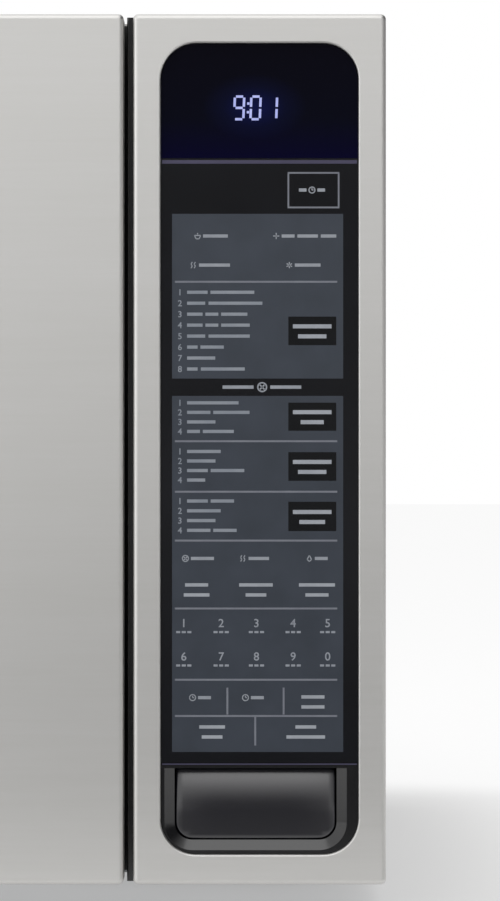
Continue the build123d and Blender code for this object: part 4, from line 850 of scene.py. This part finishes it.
def punched_screen():
    """A sheet cut in square cells, each but the outer ones with an eight-sided hole."""
    size = screen_high - screen_low
    middle = (screen_low + screen_high) / 2
    across, up = round(size.x / screen_pitch), round(size.z / screen_pitch)
    mesh = bmesh.new()
    spread = Matrix.Diagonal((size.x, size.z, 1, 1))
    place = Matrix.Translation(middle) @ Matrix.Rotation(pi / 2, 4, "X") @ spread
    bmesh.ops.create_grid(mesh, x_segments=across, y_segments=up, size=0.5, matrix=place)
    inner = [f for f in mesh.faces if not any(e.is_boundary for v in f.verts for e in v.link_edges)]
    bmesh.ops.inset_individual(mesh, faces=inner, thickness=(screen_pitch - screen_hole) / 2)
    corners = list({v for f in inner for v in f.verts})
    bmesh.ops.bevel(mesh, geom=corners, offset=screen_hole * octagon_cut, segments=1, profile=0.5,
                    affect="VERTICES", material=-1)
    bmesh.ops.delete(mesh, geom=[f for f in mesh.faces if len(f.verts) == 8], context="FACES_ONLY")
    for x in (-1, 1):
        for z in (-1, 1):
            corner = Vector((screen_high.x if x > 0 else screen_low.x, middle.y,
                             screen_high.z if z > 0 else screen_low.z))
            geom = mesh.verts[:] + mesh.edges[:] + mesh.faces[:]
            bmesh.ops.bisect_plane(mesh, geom=geom, plane_co=corner - Vector((x * screen_corner, 0, 0)),
                                   plane_no=(x, 0, z), clear_outer=True)
    bmesh.ops.recalc_face_normals(mesh, faces=mesh.faces)
    bmesh.ops.solidify(mesh, geom=mesh.faces, thickness=size.y)
    bmesh.ops.translate(mesh, verts=mesh.verts, vec=(0, screen_low.y - min(v.co.y for v in mesh.verts), 0))
    bmesh.ops.recalc_face_normals(mesh, faces=mesh.faces)
    return mesh


# Enamelled screen: matt black, so that the eye looks through it.
screen_black, tree, shader, point = finish("black_enamelled_screen", Roughness=0.4)
peel = add(tree, "TexNoise", {"Vector": point, "Scale": 1 / (2.5 * MM)})
feed(tree, shader,
     Base_Color=add(tree, "ValToRGB", {0: peel}, stops=[(0.3, "#0c0c0d"), (0.7, "#131315")]))
screen = shape("perforated_screen", punched_screen(), screen_black)
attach(screen, "door")
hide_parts("door_screen")

# Float glass: nearly colourless, a touch green.
clear_glass, tree, shader, point = finish("clear_float_glass", Roughness=0.03, IOR=1.52, Alpha=0.14)
drift = add(tree, "TexNoise", {"Vector": point, "Scale": 1 / (120 * MM)})
feed(tree, shader,
     Base_Color=add(tree, "ValToRGB", {0: drift}, stops=[(0.3, "#dfe5e3"), (0.7, "#e6ebe9")]))
dress(clear_glass, "inner_window")

# Tinted glass: black at a glance, with the lit cavity just seen through it.
tinted_glass, tree, shader, point = finish("tinted_float_glass", Roughness=0.03, IOR=1.52, Alpha=0.62)
drift = add(tree, "TexNoise", {"Vector": point, "Scale": 1 / (160 * MM)})
feed(tree, shader,
     Base_Color=add(tree, "ValToRGB", {0: drift}, stops=[(0.3, "#08080a"), (0.7, "#0b0b0e")]))
dress(tinted_glass, "door_glass")

low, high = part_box("latch_spring")
spring = coil("latch_return_spring", ((low.x + high.x) / 2, (low.y + high.y) / 2, low.z), (0, 0, 1),
              high.z - low.z, (high.x - low.x) / 2 - wire_radius, 8)
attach(spring, "door")
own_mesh(spring)
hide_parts("latch_spring")

# Hinges and screws: each hinge is a bracket stamped from steel, with a turned pin, fixed behind the
# front plate. The screws hold the cabinet to the rear panel, and all of it is bright zinc plated.

# Bright zinc plate: silvery and a little clouded by handling.
zinc_plate, tree, shader, point = finish("bright_zinc_plate", Metallic=1.0)
cloud = add(tree, "TexNoise", {"Vector": point, "Scale": 1 / (4 * MM), "Detail": 4.0})
feed(tree, shader,
     Base_Color=add(tree, "ValToRGB", {0: cloud}, stops=[(0.3, "#b4b5b4"), (0.7, "#c6c7c6")]),
     Roughness=add(tree, "MapRange", {"Value": cloud, "From Min": 0.3, "From Max": 0.7, "To Min": 0.24,
                                      "To Max": 0.36}))
dress(zinc_plate, "upper_hinge", "lower_hinge", "cabinet_screws")

# Cabinet: one sheet of brushed stainless steel, folded over the top and both sides and screwed to the
# rear panel.

# Brushed stainless steel, its grain from front to back.
dress(brushed("brushed_cabinet_stainless", "#cfcecb", "#c5c4c1", (2, 70, 2), 0.42), "cabinet_wrap")
